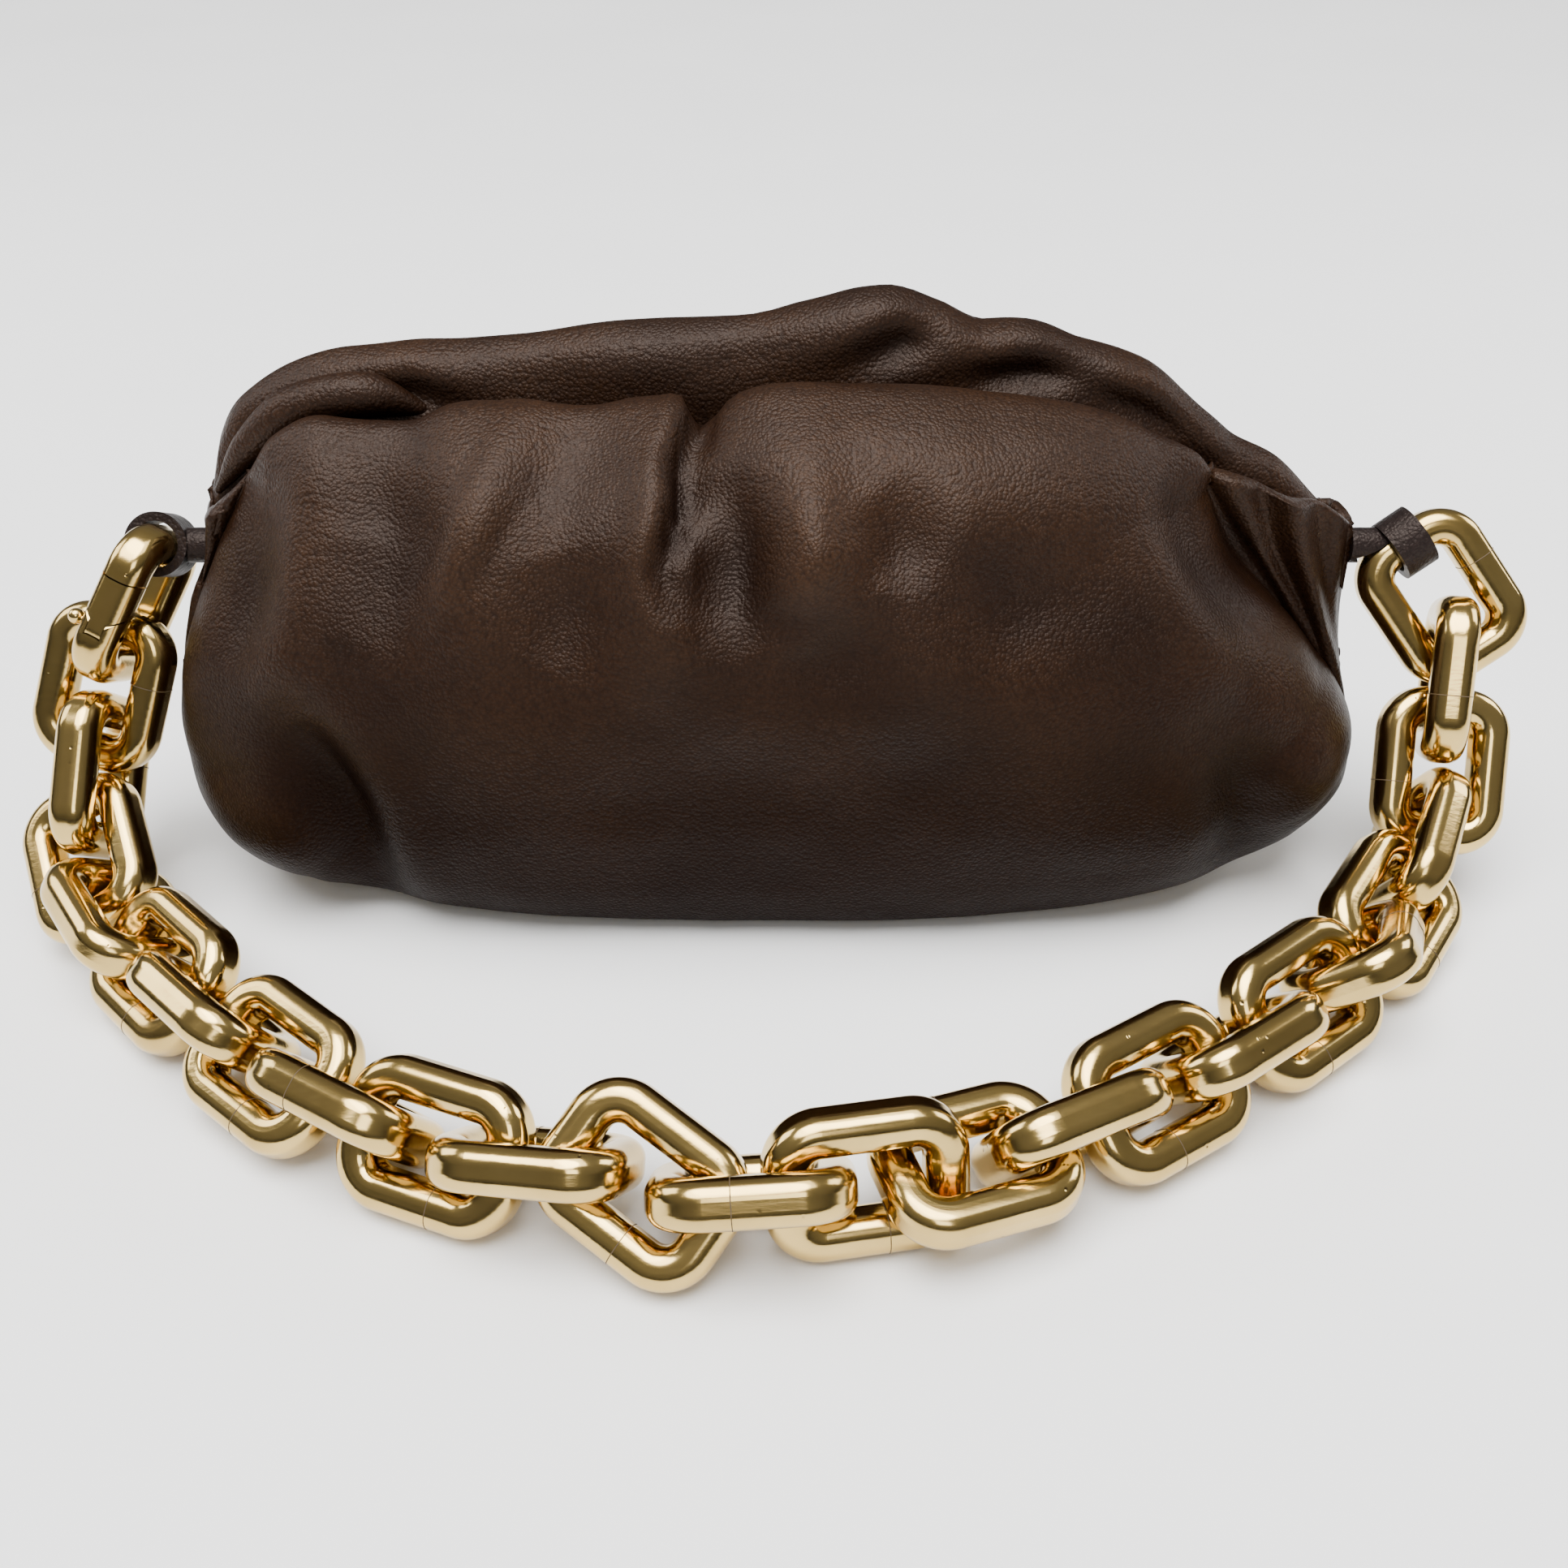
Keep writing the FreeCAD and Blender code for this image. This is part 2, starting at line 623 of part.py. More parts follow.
def closest_on_segments(a0, a1, b0, b1):
    """Find the nearest points of two segments."""
    d1 = a1 - a0
    d2 = b1 - b0
    offset = a0 - b0
    a = d1.dot(d1)
    e = d2.dot(d2)
    b = d1.dot(d2)
    c = d1.dot(offset)
    f = d2.dot(offset)
    spread = a * e - b * b
    s = min(1.0, max(0.0, (b * f - c * e) / spread)) if spread > 1e-9 else 0.0
    t = (b * s + f) / e
    if t < 0.0:
        t = 0.0
        s = min(1.0, max(0.0, -c / a))
    elif t > 1.0:
        t = 1.0
        s = min(1.0, max(0.0, (b - c) / a))
    return a0 + d1 * s, b0 + d2 * t


def part_links(first, second, gap):
    """Push two links clear of each other where they come nearest; return how deep they were."""
    reach = 2 * GYRATION
    worst = None
    count = len(OUTLINE)
    for i in range(count):
        a0, a1 = first.points[i - 1], first.points[i]
        middle = (a0 + a1) * 0.5
        for j in range(count):
            b0, b1 = second.points[j - 1], second.points[j]
            if (middle - (b0 + b1) * 0.5).Length > reach:
                continue
            p, q = closest_on_segments(a0, a1, b0, b1)
            apart = p - q
            distance = max(apart.Length, 1e-6)
            direction = apart * (1.0 / distance)
            need = first.half_thickness(direction) + second.half_thickness(direction) + gap
            if worst is None or need - distance > worst[0]:
                worst = (need - distance, p, q, direction)
    if worst is None or worst[0] <= 0:
        return 0.0
    depth, p, q, direction = worst
    weight = first.ease(p, direction) + second.ease(q, direction)
    if weight > 0:
        first.push(p, direction * (depth / weight))
        second.push(q, direction * (-depth / weight))
    return depth


def lift_off_floor(link):
    """Raise a link that would sink into the surface the bag stands on."""
    low = min(link.points, key=lambda point: point.z)
    depth = link.half_thickness(Z_AXIS) - low.z
    if depth <= 0:
        return 0.0
    link.push(low, Z_AXIS * (depth / max(link.ease(low, Z_AXIS), 1.0)))
    return depth


def lay_chain():
    """Lay the links along the route, then let them settle clear of each other."""
    joints = strap_joints(size("link_length") - 2 * size("link_bar") - size("link_play"))
    count = len(joints) - 1
    poses = []
    for index in range(count):
        roll, turn = LINK_LAY[index % len(LINK_LAY)]
        along = (joints[index + 1] - joints[index]).normalize()
        across = FRONT_FACE.cross(along).normalize()
        across = Rotation(along, roll).multVec(across)
        normal = along.cross(across)
        swing = Rotation(normal, turn)
        centre = (joints[index] + joints[index + 1]) * 0.5
        pinned = index in (0, count - 1)
        poses.append(LinkPose(centre, swing.multVec(along), swing.multVec(across), pinned))
    gap = size("link_gap")
    for _ in range(SETTLE_ROUNDS):
        depths = [0.0]
        for step in (1, 2, 3):
            for index in range(count - step):
                depths.append(part_links(poses[index], poses[index + step], gap))
        depths.extend(lift_off_floor(pose) for pose in poses)
        if max(depths) < SETTLE_LIMIT:
            break
    print("chain settled to %.3f mm" % max(depths))
    return poses


def make_links(poses):
    """Make every link of the chain; the first is split for its gate."""
    for index, pose in enumerate(poses, start=1):
        name = "link_%02d" % index
        body = make_link_body(name)
        body.Placement = pose.placement()
        if name == CLASP:
            make_clasp(body, pose)
        else:
            keep(body, name)
        print("%s centre %s along %s across %s" % (name, pose.centre, pose.along, pose.across))


def local_cylinder(name, pose, radius, height, place, direction=Z_AXIS):
    """Make a cylinder centred at a place in a link's own frame, along one of its directions."""
    cylinder = document.addObject("Part::Cylinder", name)
    bind(cylinder, Radius=radius, Height=height)
    document.recompute()
    turn = Rotation(Z_AXIS, direction)
    start = place - direction * (cylinder.Height.Value / 2)
    cylinder.Placement = pose.placement().multiply(Placement(start, turn))
    return cylinder


def local_box(name, pose, length, width, height, low):
    """Make a box from its lowest corner in a link's own frame."""
    box = document.addObject("Part::Box", name)
    bind(box, Length=length, Width=width, Height=height)
    box.Placement = pose.placement().multiply(Placement(low, Rotation()))
    return box


def make_clasp(ring, pose):
    """Split the first link for a sprung gate in its front leg, on a ball-ended pin between two cheeks."""
    bar = size("link_bar")
    deep = size("link_depth")
    leg = (size("link_width") - bar) / 2
    length = size("gate_length")
    pivot = Vector(length / 2, leg, 0)
    tall = "2 * sizes.link_depth"

    def gate_space(name, play, cheek_play, tongue):
        """Make the gate's space, grown by a play, with a tongue of a given thickness round its pin."""
        reach = local_cylinder(name + "_reach", pose, "sizes.gate_length + " + play, tall, pivot)
        low = Vector(pivot.x - 2 * length, leg - bar, -deep)
        band = local_box(name + "_band", pose, "2 * sizes.gate_length", "2 * sizes.link_bar", tall, low)
        space = common(name + "_sector", reach, band)
        radius = "sizes.link_bar / 2 + " + cheek_play
        for side, sign in (("near", 1), ("far", -1)):
            middle = pivot + Vector(0, 0, sign * (deep + tongue[0] / 2))
            cheek = local_cylinder("%s_%s_cheek" % (name, side), pose, radius, tall, middle)
            space = cut("%s_%s_cut" % (name, side), space, cheek)
        knuckle = local_cylinder(name + "_knuckle", pose, "sizes.link_bar / 2 + " + play, tongue[1], pivot)
        return fuse(name + "_space", space, knuckle)

    gap = "sizes.gate_gap"
    slim = (size("gate_tongue"), "sizes.gate_tongue")
    wide = (size("gate_tongue") + size("gate_gap"), "sizes.gate_tongue + sizes.gate_gap")
    slot = gate_space("gate_slot", gap, "0", wide)
    cheek_bore = local_cylinder("gate_cheek_bore", pose, "sizes.gate_pin_radius", tall, pivot)
    keep(cut("clasp_bored", cut("clasp_open", ring, slot), cheek_bore), CLASP)

    blank = make_link_body("clasp_gate_blank")
    blank.Placement = pose.placement()
    shape = common("gate_leg", blank, gate_space("gate_fill", "0", gap, slim))
    gate_bore = local_cylinder("gate_bore", pose, "sizes.gate_pin_radius + sizes.pin_play", tall, pivot)
    keep(cut("gate_bored", shape, gate_bore), "clasp_gate")

    ball_reach = deep / 2 + size("gate_ball_radius")
    pin_length = "sizes.link_depth + sizes.gate_ball_radius - sizes.gate_tongue / 2"
    pin_shift = (size("gate_ball_radius") + size("gate_tongue") / 2) / 2
    pin_middle = pivot + Z_AXIS * pin_shift
    stem = local_cylinder("gate_pin_stem", pose, "sizes.gate_pin_radius", pin_length, pin_middle)
    ball = document.addObject("Part::Sphere", "gate_pin_ball")
    bind(ball, Radius="sizes.gate_ball_radius")
    ball.Placement = pose.placement().multiply(Placement(pivot + Z_AXIS * ball_reach, Rotation()))
    keep(fuse("gate_pin_solid", stem, ball), "gate_pin")
    print("gate pivot %s axis %s" % (pose.placement().multVec(pivot), pose.normal))


def make_tab(name, sign, pose, at_start):
    """Make one leather tab: a loop round the end bar of a link, on a root that swivels at the pouch's end."""
    half = (size("link_length") - size("link_bar")) / 2
    middle = pose.centre + pose.along * (-half if at_start else half)
    inner = "sizes.link_depth / 2 + sizes.tab_play"
    rings = []
    for part, radius, widths in (("outer", inner + " + sizes.tab_wall", 1), ("inner", inner, 3)):
        ring = document.addObject("Part::Cylinder", "%s_%s" % (name, part))
        bind(ring, Radius=radius, Height="%g * sizes.tab_width" % widths)
        turn = Rotation(Z_AXIS, pose.across)
        ring.Placement = Placement(middle - pose.across * (widths * size("tab_width") / 2), turn)
        rings.append(ring)
    root_length = "sizes.tab_reach - sizes.tab_gap - sizes.link_depth / 2 - sizes.tab_play"
    near = "sizes.rim_half_length + sizes.tab_gap"
    start = near if sign > 0 else "-(%s + %s)" % (near, root_length)
    root_place = (start, "0", "sizes.hinge_height")
    root = add_cylinder(name + "_root", "sizes.tab_root_radius", root_length, root_place, X_AXIS)
    solid = cut(name + "_looped", fuse(name + "_joined", root, rings[0]), rings[1])
    bore_depth = "sizes.pin_radius + sizes.tab_gap"
    bore_start = near if sign > 0 else "-(%s + %s)" % (near, bore_depth)
    bore_place = (bore_start, "0", "sizes.hinge_height")
    bore = add_cylinder(name + "_bore", "sizes.pin_radius + sizes.pin_play", bore_depth, bore_place, X_AXIS)
    keep(cut(name + "_bored", solid, bore), name)


def write_parts():
    """Check every object and write each sub-part to its own file."""
    document.recompute()
    for item in document.Objects:
        if "Invalid" in item.State or "Error" in item.State:
            raise RuntimeError("%s failed: %s" % (item.Label, item.State))
    for item in sub_parts:
        if item.Shape.isNull() or not item.Shape.isValid():
            raise RuntimeError("%s has no valid shape" % item.Label)
    os.makedirs("parts", exist_ok=True)
    for item in sub_parts:
        item.Shape.exportStep("parts/%s.step" % item.Label)
        solids = item.Shape.Solids
        print("%s: %d solid(s), %.1f mm3" % (item.Label, len(solids), sum(solid.Volume for solid in solids)))


fill_sheet()
OUTLINE = link_outline()
GYRATION = (size("link_length") + size("link_width") - 2 * size("link_bar")) / 4
SETTLE_ROUNDS = 300
SETTLE_LIMIT = 0.05
ROUNDING = size("link_rounding")
FLAT_DEPTH = size("link_depth") / 2 - ROUNDING
FLAT_BAR = size("link_bar") / 2 - ROUNDING

make_pouch()
make_lip("front_lip", -1, "sizes.front_lip_rise")
make_lip("back_lip", 1, "sizes.back_lip_rise")
make_jaw("front_jaw", -1, "(sizes.lip_end_half_length - sizes.jaw_thickness - sizes.eye_gap)")
make_jaw("back_jaw", 1, "sizes.lip_end_half_length")
make_hinges()
chain = lay_chain()
make_links(chain)
make_tab("left_tab", -1, chain[0], True)
make_tab("right_tab", 1, chain[-1], False)
write_parts()
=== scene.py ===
"""Looks of the chain shoulder bag: gathered leather, lining, gold chain, tabs, floor, light and camera."""
import json
import logging
import math
from dataclasses import dataclass, field
from enum import Enum
from typing import Sequence

import bpy
import numpy as np
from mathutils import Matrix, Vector, noise


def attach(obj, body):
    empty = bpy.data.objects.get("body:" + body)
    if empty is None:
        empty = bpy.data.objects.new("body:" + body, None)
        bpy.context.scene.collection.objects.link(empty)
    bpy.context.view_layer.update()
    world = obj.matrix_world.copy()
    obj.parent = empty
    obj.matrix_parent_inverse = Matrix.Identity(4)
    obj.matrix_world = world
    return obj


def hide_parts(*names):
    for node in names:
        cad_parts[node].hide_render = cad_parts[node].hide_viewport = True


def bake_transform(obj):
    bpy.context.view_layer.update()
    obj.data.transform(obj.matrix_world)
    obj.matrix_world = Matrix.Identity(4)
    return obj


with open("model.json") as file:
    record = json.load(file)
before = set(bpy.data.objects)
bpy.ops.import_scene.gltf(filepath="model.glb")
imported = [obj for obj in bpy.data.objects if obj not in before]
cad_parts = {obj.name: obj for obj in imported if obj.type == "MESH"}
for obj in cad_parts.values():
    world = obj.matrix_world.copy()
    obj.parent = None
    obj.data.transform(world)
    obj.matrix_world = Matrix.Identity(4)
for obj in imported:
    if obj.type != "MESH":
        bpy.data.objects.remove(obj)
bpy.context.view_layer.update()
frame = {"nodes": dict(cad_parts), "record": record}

MM = 0.001
TINY = 1e-9
HINGE_HEIGHT = 92.0
LOG = logging.getLogger("bag")

Point = tuple[float, float]
Place = tuple[float, float, float]
Colour = tuple[float, float, float, float]
Material = bpy.types.Material
Piece = bpy.types.Object
Socket = bpy.types.NodeSocket
Finishes = dict[str, Material]
Array = np.ndarray


class Side(Enum):
    """The two leather halves of the bag; the value is the way each one faces along Y."""

    FRONT = -1
    BACK = 1


class Texture(Enum):
    """What mixes the two colours of a plain finish."""

    GRAIN = "grain"
    BRUSHED = "brushed"
    TWILL = "twill"


class NodeGraph:
    """A small helper for building a node tree from left to right."""

    def __init__(self, tree: bpy.types.NodeTree) -> None:
        """Keep the tree to add to."""
        self.tree = tree

    def add(self, kind: str, inputs: dict | None = None, **settings: object) -> bpy.types.Node:
        """Add a node.

        Args:
            kind: The node's type name.
            inputs: Values or sockets by input name or index.
            settings: Properties of the node.

        Returns:
            The new node.
        """
        node = self.tree.nodes.new(kind)
        for name, value in settings.items():
            setattr(node, name, value)
        self.fill(node, inputs or {})
        return node

    def fill(self, node: bpy.types.Node, inputs: dict) -> None:
        """Link a node's inputs to sockets, or set their values.

        Args:
            node: The node.
            inputs: Values or sockets by input name or index.
        """
        for name, value in inputs.items():
            if isinstance(value, Socket):
                self.tree.links.new(value, node.inputs[name])
            else:
                node.inputs[name].default_value = value

    def math(self, operation: str, first: object, second: object = 0.0) -> Socket:
        """Add a math node and return its result."""
        return self.add("ShaderNodeMath", {0: first, 1: second}, operation=operation).outputs[0]

    def ramp(self, value: object, low: float, high: float, start: float = 0.0, stop: float = 1.0) -> Socket:
        """Map a value between start and stop onto low to high, held at both ends."""
        limits = {"From Min": start, "From Max": stop, "To Min": low, "To Max": high}
        return self.add("ShaderNodeMapRange", {"Value": value, **limits}).outputs[0]

    def mix(self, factor: object, first: object, second: object) -> Socket:
        """Mix two colours, the first at a factor of 0 and the second at 1."""
        values = {"Factor": factor, 6: first, 7: second}
        return self.add("ShaderNodeMix", values, data_type="RGBA").outputs[2]

    def noise(self, coordinates: object, scale: float, detail: float = 3.0) -> Socket:
        """Add a noise texture, its scale per metre, and return its value."""
        values = {"Vector": coordinates, "Scale": scale, "Detail": detail}
        return self.add("ShaderNodeTexNoise", values).outputs["Fac"]

    def cells(self, coordinates: object, scale: float) -> Socket:
        """Add a texture of rounded cells and return the distance from each one's middle."""
        values = {"Vector": coordinates, "Scale": scale}
        return self.add("ShaderNodeTexVoronoi", values, feature="F1").outputs["Distance"]

    def bump(self, height: object, shape: Point, base: object = None) -> Socket:
        """Turn a height into a bent normal.

        Args:
            height: Height socket.
            shape: Strength from 0 to 1, and the height of one unit in metres.
            base: Normal to bend further.

        Returns:
            The normal socket.
        """
        values = {"Height": height, "Strength": shape[0], "Distance": shape[1]}
        if base is not None:
            values["Normal"] = base
        return self.add("ShaderNodeBump", values).outputs[0]


def new_material(name: str) -> tuple[Material, NodeGraph, bpy.types.Node, Socket]:
    """Start a material.

    Args:
        name: The material's name.

    Returns:
        The material, its graph, its main shader and its Object coordinates.
    """
    material = bpy.data.materials.new(name)
    material.use_nodes = True
    graph = NodeGraph(material.node_tree)
    shader = material.node_tree.nodes["Principled BSDF"]
    coordinates = graph.add("ShaderNodeTexCoord").outputs["Object"]
    return material, graph, shader, coordinates


@dataclass(frozen=True)
class LeatherFinish:
    """Fine-grained calf leather with painted shade in the hollows of its folds and towards the floor, and a
    painted highlight, lighter and greyer, on the crests of its folds.

    Scales count per metre. A tone or a roughness is a range, a bump is its strength and its height in metres.
    """

    name: str = "dark_leather"
    # deep is the leather's darkest tone and also the colour of its painted shade.
    deep: Colour = (0.0048, 0.0015, 0.0007, 1.0)
    middle: Colour = (0.036, 0.0148, 0.0054, 1.0)
    # Colour of the painted highlight on the crests of the folds.
    crest_highlight: Colour = (0.041, 0.0190, 0.0086, 1.0)
    folds: bool = True
    cloud_scale: float = 26.0
    cloud_tone: Point = (-0.35, 1.35)
    speck_scale: float = 420.0
    speck_tone: Point = (-0.25, 0.65)
    pebble_scale: float = 1080.0
    pebble_tone: Point = (-0.15, 0.75)
    pebble_bump: Point = (0.55, 0.0004)
    fine_scale: float = 2484.0
    fine_bump: Point = (0.30, 0.0002)
    skin_scale: float = 160.0
    skin_bump: Point = (0.05, 0.0012)
    roughness: Point = (0.36, 0.52)
    # Height below which painted shade darkens the leather towards the floor.
    shade_height: float = 0.105
    gloss: float = 0.20
    shaded_gloss: float = 0.024
    gloss_tint: Colour = (1.0, 0.82, 0.72, 1.0)

    def make(self) -> Material:
        """Build the material.

        Returns:
            The material.
        """
        material, graph, shader, at = new_material(self.name)
        cloud = graph.noise(at, self.cloud_scale, detail=4.0)
        speck = graph.noise(at, self.speck_scale)
        tone = graph.mix(graph.ramp(cloud, *self.cloud_tone), self.deep, self.middle)
        shine: object = self.gloss
        if self.folds:
            # Painted shade in the hollows of the folds and a painted highlight on their crests, from the lift
            # of each fold.
            hollow = graph.add("ShaderNodeAttribute", attribute_name="hollow").outputs["Fac"]
            crest = graph.add("ShaderNodeAttribute", attribute_name="crest").outputs["Fac"]
            tone = graph.mix(crest, tone, self.crest_highlight)
            tone = graph.mix(hollow, tone, self.deep)
            # Painted shade: the leather turns darker towards the floor, where it faces down and away from the
            # light, and its gloss drops there.
            height = graph.add("ShaderNodeSeparateXYZ", {"Vector": at}).outputs["Z"]
            low = graph.ramp(height, 1.0, 0.0, 0.0, self.shade_height)
            tone = graph.mix(low, tone, self.deep)
            shine = graph.ramp(low, self.gloss, self.shaded_gloss)
        tone = graph.mix(graph.ramp(speck, *self.speck_tone), tone, self.deep)
        pebbles = graph.cells(at, self.pebble_scale)
        tone = graph.mix(graph.ramp(pebbles, *self.pebble_tone), tone, self.deep)
        normal = graph.bump(graph.noise(at, self.skin_scale, detail=5.0), self.skin_bump)
        normal = graph.bump(graph.math("SUBTRACT", 1.0, pebbles), self.pebble_bump, normal)
        normal = graph.bump(graph.cells(at, self.fine_scale), self.fine_bump, normal)
        rough = graph.ramp(speck, *self.roughness)
        graph.fill(shader, {"Base Color": tone, "Roughness": rough, "Normal": normal})
        graph.fill(shader, {"Specular IOR Level": shine, "Specular Tint": self.gloss_tint})
        return material


@dataclass(frozen=True)
class GoldFinish:
    """Polished gold-coloured plating with smudges, hairline scratches and a few small pits.

    Scales count per metre. An edge is where a spot starts and stops, a bump its strength and its height.
    """

    name: str = "polished_gold"
    bright: Colour = (0.70, 0.50, 0.18, 1.0)
    worn: Colour = (0.46, 0.31, 0.10, 1.0)
    pitted: Colour = (0.12, 0.07, 0.03, 1.0)
    smudge_scale: float = 55.0
    smudge_tone: Point = (-0.5, 1.2)
    scratch_scale: Place = (140.0, 900.0, 900.0)
    scratch_roughness: float = 0.06
    scratch_bump: Point = (0.05, 0.0004)
    pit_scale: float = 240.0
    pit_edge: Point = (0.05, 0.13)
    pit_tone: float = 0.7
    pit_bump: Point = (0.35, 0.0003)
    patch_scale: float = 75.0
    patch_edge: Point = (0.56, 0.66)
    roughness: Point = (0.05, 0.20)

    def make(self) -> Material:
        """Build the material.

        Returns:
            The material.
        """
        material, graph, shader, at = new_material(self.name)
        smudge = graph.noise(at, self.smudge_scale, detail=4.0)
        drawn = graph.add("ShaderNodeMapping", {"Vector": at, "Scale": self.scratch_scale}).outputs[0]
        scratch = graph.noise(drawn, 1.0, detail=2.0)
        pit = graph.ramp(graph.cells(at, self.pit_scale), 1.0, 0.0, *self.pit_edge)
        patch = graph.ramp(graph.noise(at, self.patch_scale, detail=1.0), 0.0, 1.0, *self.patch_edge)
        spots = graph.math("MULTIPLY", pit, patch)
        tone = graph.mix(graph.ramp(smudge, *self.smudge_tone), self.bright, self.worn)
        tone = graph.mix(graph.math("MULTIPLY", spots, self.pit_tone), tone, self.pitted)
        scratched = graph.math("MULTIPLY", scratch, self.scratch_roughness)
        rough = graph.math("ADD", graph.ramp(smudge, *self.roughness), scratched)
        normal = graph.bump(scratch, self.scratch_bump)
        normal = graph.bump(graph.math("SUBTRACT", 1.0, spots), self.pit_bump, normal)
        graph.fill(shader, {"Base Color": tone, "Metallic": 1.0, "Roughness": rough, "Normal": normal})
        return material


@dataclass(frozen=True)
class PlainFinish:
    """Two colours mixed by a texture, which roughens and raises the surface too.

    It serves boards, thread and the floor as a grain, plated metal with a brushed line, and twill.
    """

    name: str
    tint: Colour
    shadow: Colour
    scale: float = 60.0
    texture: Texture = Texture.GRAIN
    bump: Point = (0.06, 0.0003)
    roughness: Point = (0.55, 0.75)
    metallic: float = 0.0
    sheen: float = 0.0
    brush_scale: float = 1600.0
    twill_turn: Place = (0.6, 0.5, 0.78)
    twill_waver: float = 0.6

    def make(self) -> Material:
        """Build the material.

        Returns:
            The material.
        """
        material, graph, shader, at = new_material(self.name)
        if self.texture is Texture.TWILL:
            turned = graph.add("ShaderNodeMapping", {"Vector": at, "Rotation": self.twill_turn}).outputs[0]
            values = {"Vector": turned, "Scale": self.scale, "Distortion": self.twill_waver}
            pattern = graph.add("ShaderNodeTexWave", values).outputs["Fac"]
        elif self.texture is Texture.BRUSHED:
            brushed = (self.scale, self.brush_scale, self.brush_scale)
            drawn = graph.add("ShaderNodeMapping", {"Vector": at, "Scale": brushed}).outputs[0]
            pattern = graph.noise(drawn, 1.0)
        else:
            pattern = graph.noise(at, self.scale)
        tone = graph.mix(pattern, self.shadow, self.tint)
        rough = graph.ramp(pattern, *self.roughness)
        normal = graph.bump(pattern, self.bump)
        graph.fill(shader, {"Base Color": tone, "Roughness": rough, "Normal": normal})
        graph.fill(shader, {"Metallic": self.metallic, "Sheen Weight": self.sheen})
        return material


@dataclass(frozen=True)
class Line:
    """A smooth line through points that never swings past them."""

    points: tuple[Point, ...]

    def at(self, value: Array) -> Array:
        """Read the line.

        Args:
            value: Places along the first coordinate.

        Returns:
            The second coordinate there.
        """
        x, y = np.array(self.points, float).T
        step = np.diff(x)
        slope = np.diff(y) / step
        tangent = np.zeros_like(y)
        before, after = slope[:-1], slope[1:]
        same = before * after > 0
        tangent[1:-1] = np.where(same, 2 * before * after / np.where(same, before + after, 1.0), 0.0)
        tangent[0], tangent[-1] = slope[0], slope[-1]
        value = np.clip(value, x[0], x[-1])
        index = np.clip(np.searchsorted(x, value) - 1, 0, len(x) - 2)
        share = (value - x[index]) / step[index]
        square, cube = share**2, share**3
        return (
            (2 * cube - 3 * square + 1) * y[index]
            + (cube - 2 * square + share) * step[index] * tangent[index]
            + (3 * square - 2 * cube) * y[index + 1]
            + (cube - square) * step[index] * tangent[index + 1]
        )


@dataclass(frozen=True)
class Fold:
    """A crease or, with a depth below 0, a swelling of one half, in millimetres along X and up Z.

    It fades towards both ends of its path, and a shoulder can stand up beside it.
    """

    path: tuple[Point, ...]
    width: float
    depth: float
    shoulder: float = 0.0
    shoulder_place: float = 1.9
    fade_start: float = 0.22
    fade_span: float = 0.86

    def rise(self, x: Array, z: Array) -> Array:
        """Say how far the fold lifts the leather (negative where it sinks).

        Args:
            x: Places along the bag.
            z: Heights.

        Returns:
            The lift in millimetres.
        """
        nearest = np.full(x.shape, np.inf)
        along = np.zeros(x.shape)
        count = len(self.path) - 1
        for index, (start, stop) in enumerate(zip(self.path, self.path[1:])):
            run = np.array(stop, float) - np.array(start, float)
            share = np.clip(((x - start[0]) * run[0] + (z - start[1]) * run[1]) / float(run @ run), 0, 1)
            gap = np.hypot(x - start[0] - share * run[0], z - start[1] - share * run[1])
            along = np.where(gap < nearest, (index + share) / count, along)
            nearest = np.minimum(gap, nearest)
        fade = np.sin(along * math.pi * self.fade_span + self.fade_start)
        core = np.exp(-((nearest / self.width) ** 2))
        beside = nearest - self.shoulder_place * self.width
        ridge = np.exp(-((beside / self.width) ** 2))
        return fade * (-self.depth * core + self.shoulder * ridge)


def dress(piece: Piece, material: Material) -> None:
    """Give a piece its finish."""
    piece.data.materials.clear()
    piece.data.materials.append(material)


def link_object(name: str, mesh: bpy.types.Mesh, material: Material) -> Piece:
    """Put a mesh in the scene as a smooth piece.

    Args:
        name: The piece's name.
        mesh: Its mesh.
        material: Its finish.

    Returns:
        The new object.
    """
    piece = bpy.data.objects.new(name, mesh)
    bpy.context.scene.collection.objects.link(piece)
    dress(piece, material)
    mesh.shade_smooth()
    return piece


def grid_mesh(name: str, grid: Array, flip: bool) -> bpy.types.Mesh:
    """Make a mesh of quads from a grid of points in millimetres.

    Args:
        name: The mesh's name.
        grid: Points by row, column and axis.
        flip: Whether the faces turn the other way.

    Returns:
        The mesh, in metres.
    """
    rows, columns, _ = grid.shape
    numbers = np.arange(rows * columns).reshape(rows, columns)
    corners = [numbers[:-1, :-1], numbers[:-1, 1:], numbers[1:, 1:], numbers[1:, :-1]]
    if flip:
        corners = corners[::-1]
    faces = np.stack([corner.ravel() for corner in corners], axis=1)
    mesh = bpy.data.meshes.new(name)
    mesh.from_pydata((grid.reshape(-1, 3) * MM).tolist(), [], faces.tolist())
    mesh.update()
    return mesh


def grid_normals(grid: Array, side: Side) -> Array:
    """Find the way that each point of a half's grid faces.

    Args:
        grid: Points by row, column and axis.
        side: Which half it is.

    Returns:
        Unit normals out of the bag.
    """
    across = np.gradient(grid, axis=1)
    upward = np.gradient(grid, axis=0)
    normal = np.cross(across, upward) * -side.value
    return normal / np.maximum(np.linalg.norm(normal, axis=2, keepdims=True), TINY)


def grid_noise(grid: Array, scale: float, start: Place) -> Array:
    """Read smooth noise, from -1 to 1, at each point of a grid; the scale is per millimetre."""
    values = [noise.noise(Vector(point) * scale + Vector(start)) for point in grid.reshape(-1, 3)]
    return np.array(values).reshape(grid.shape[:2])


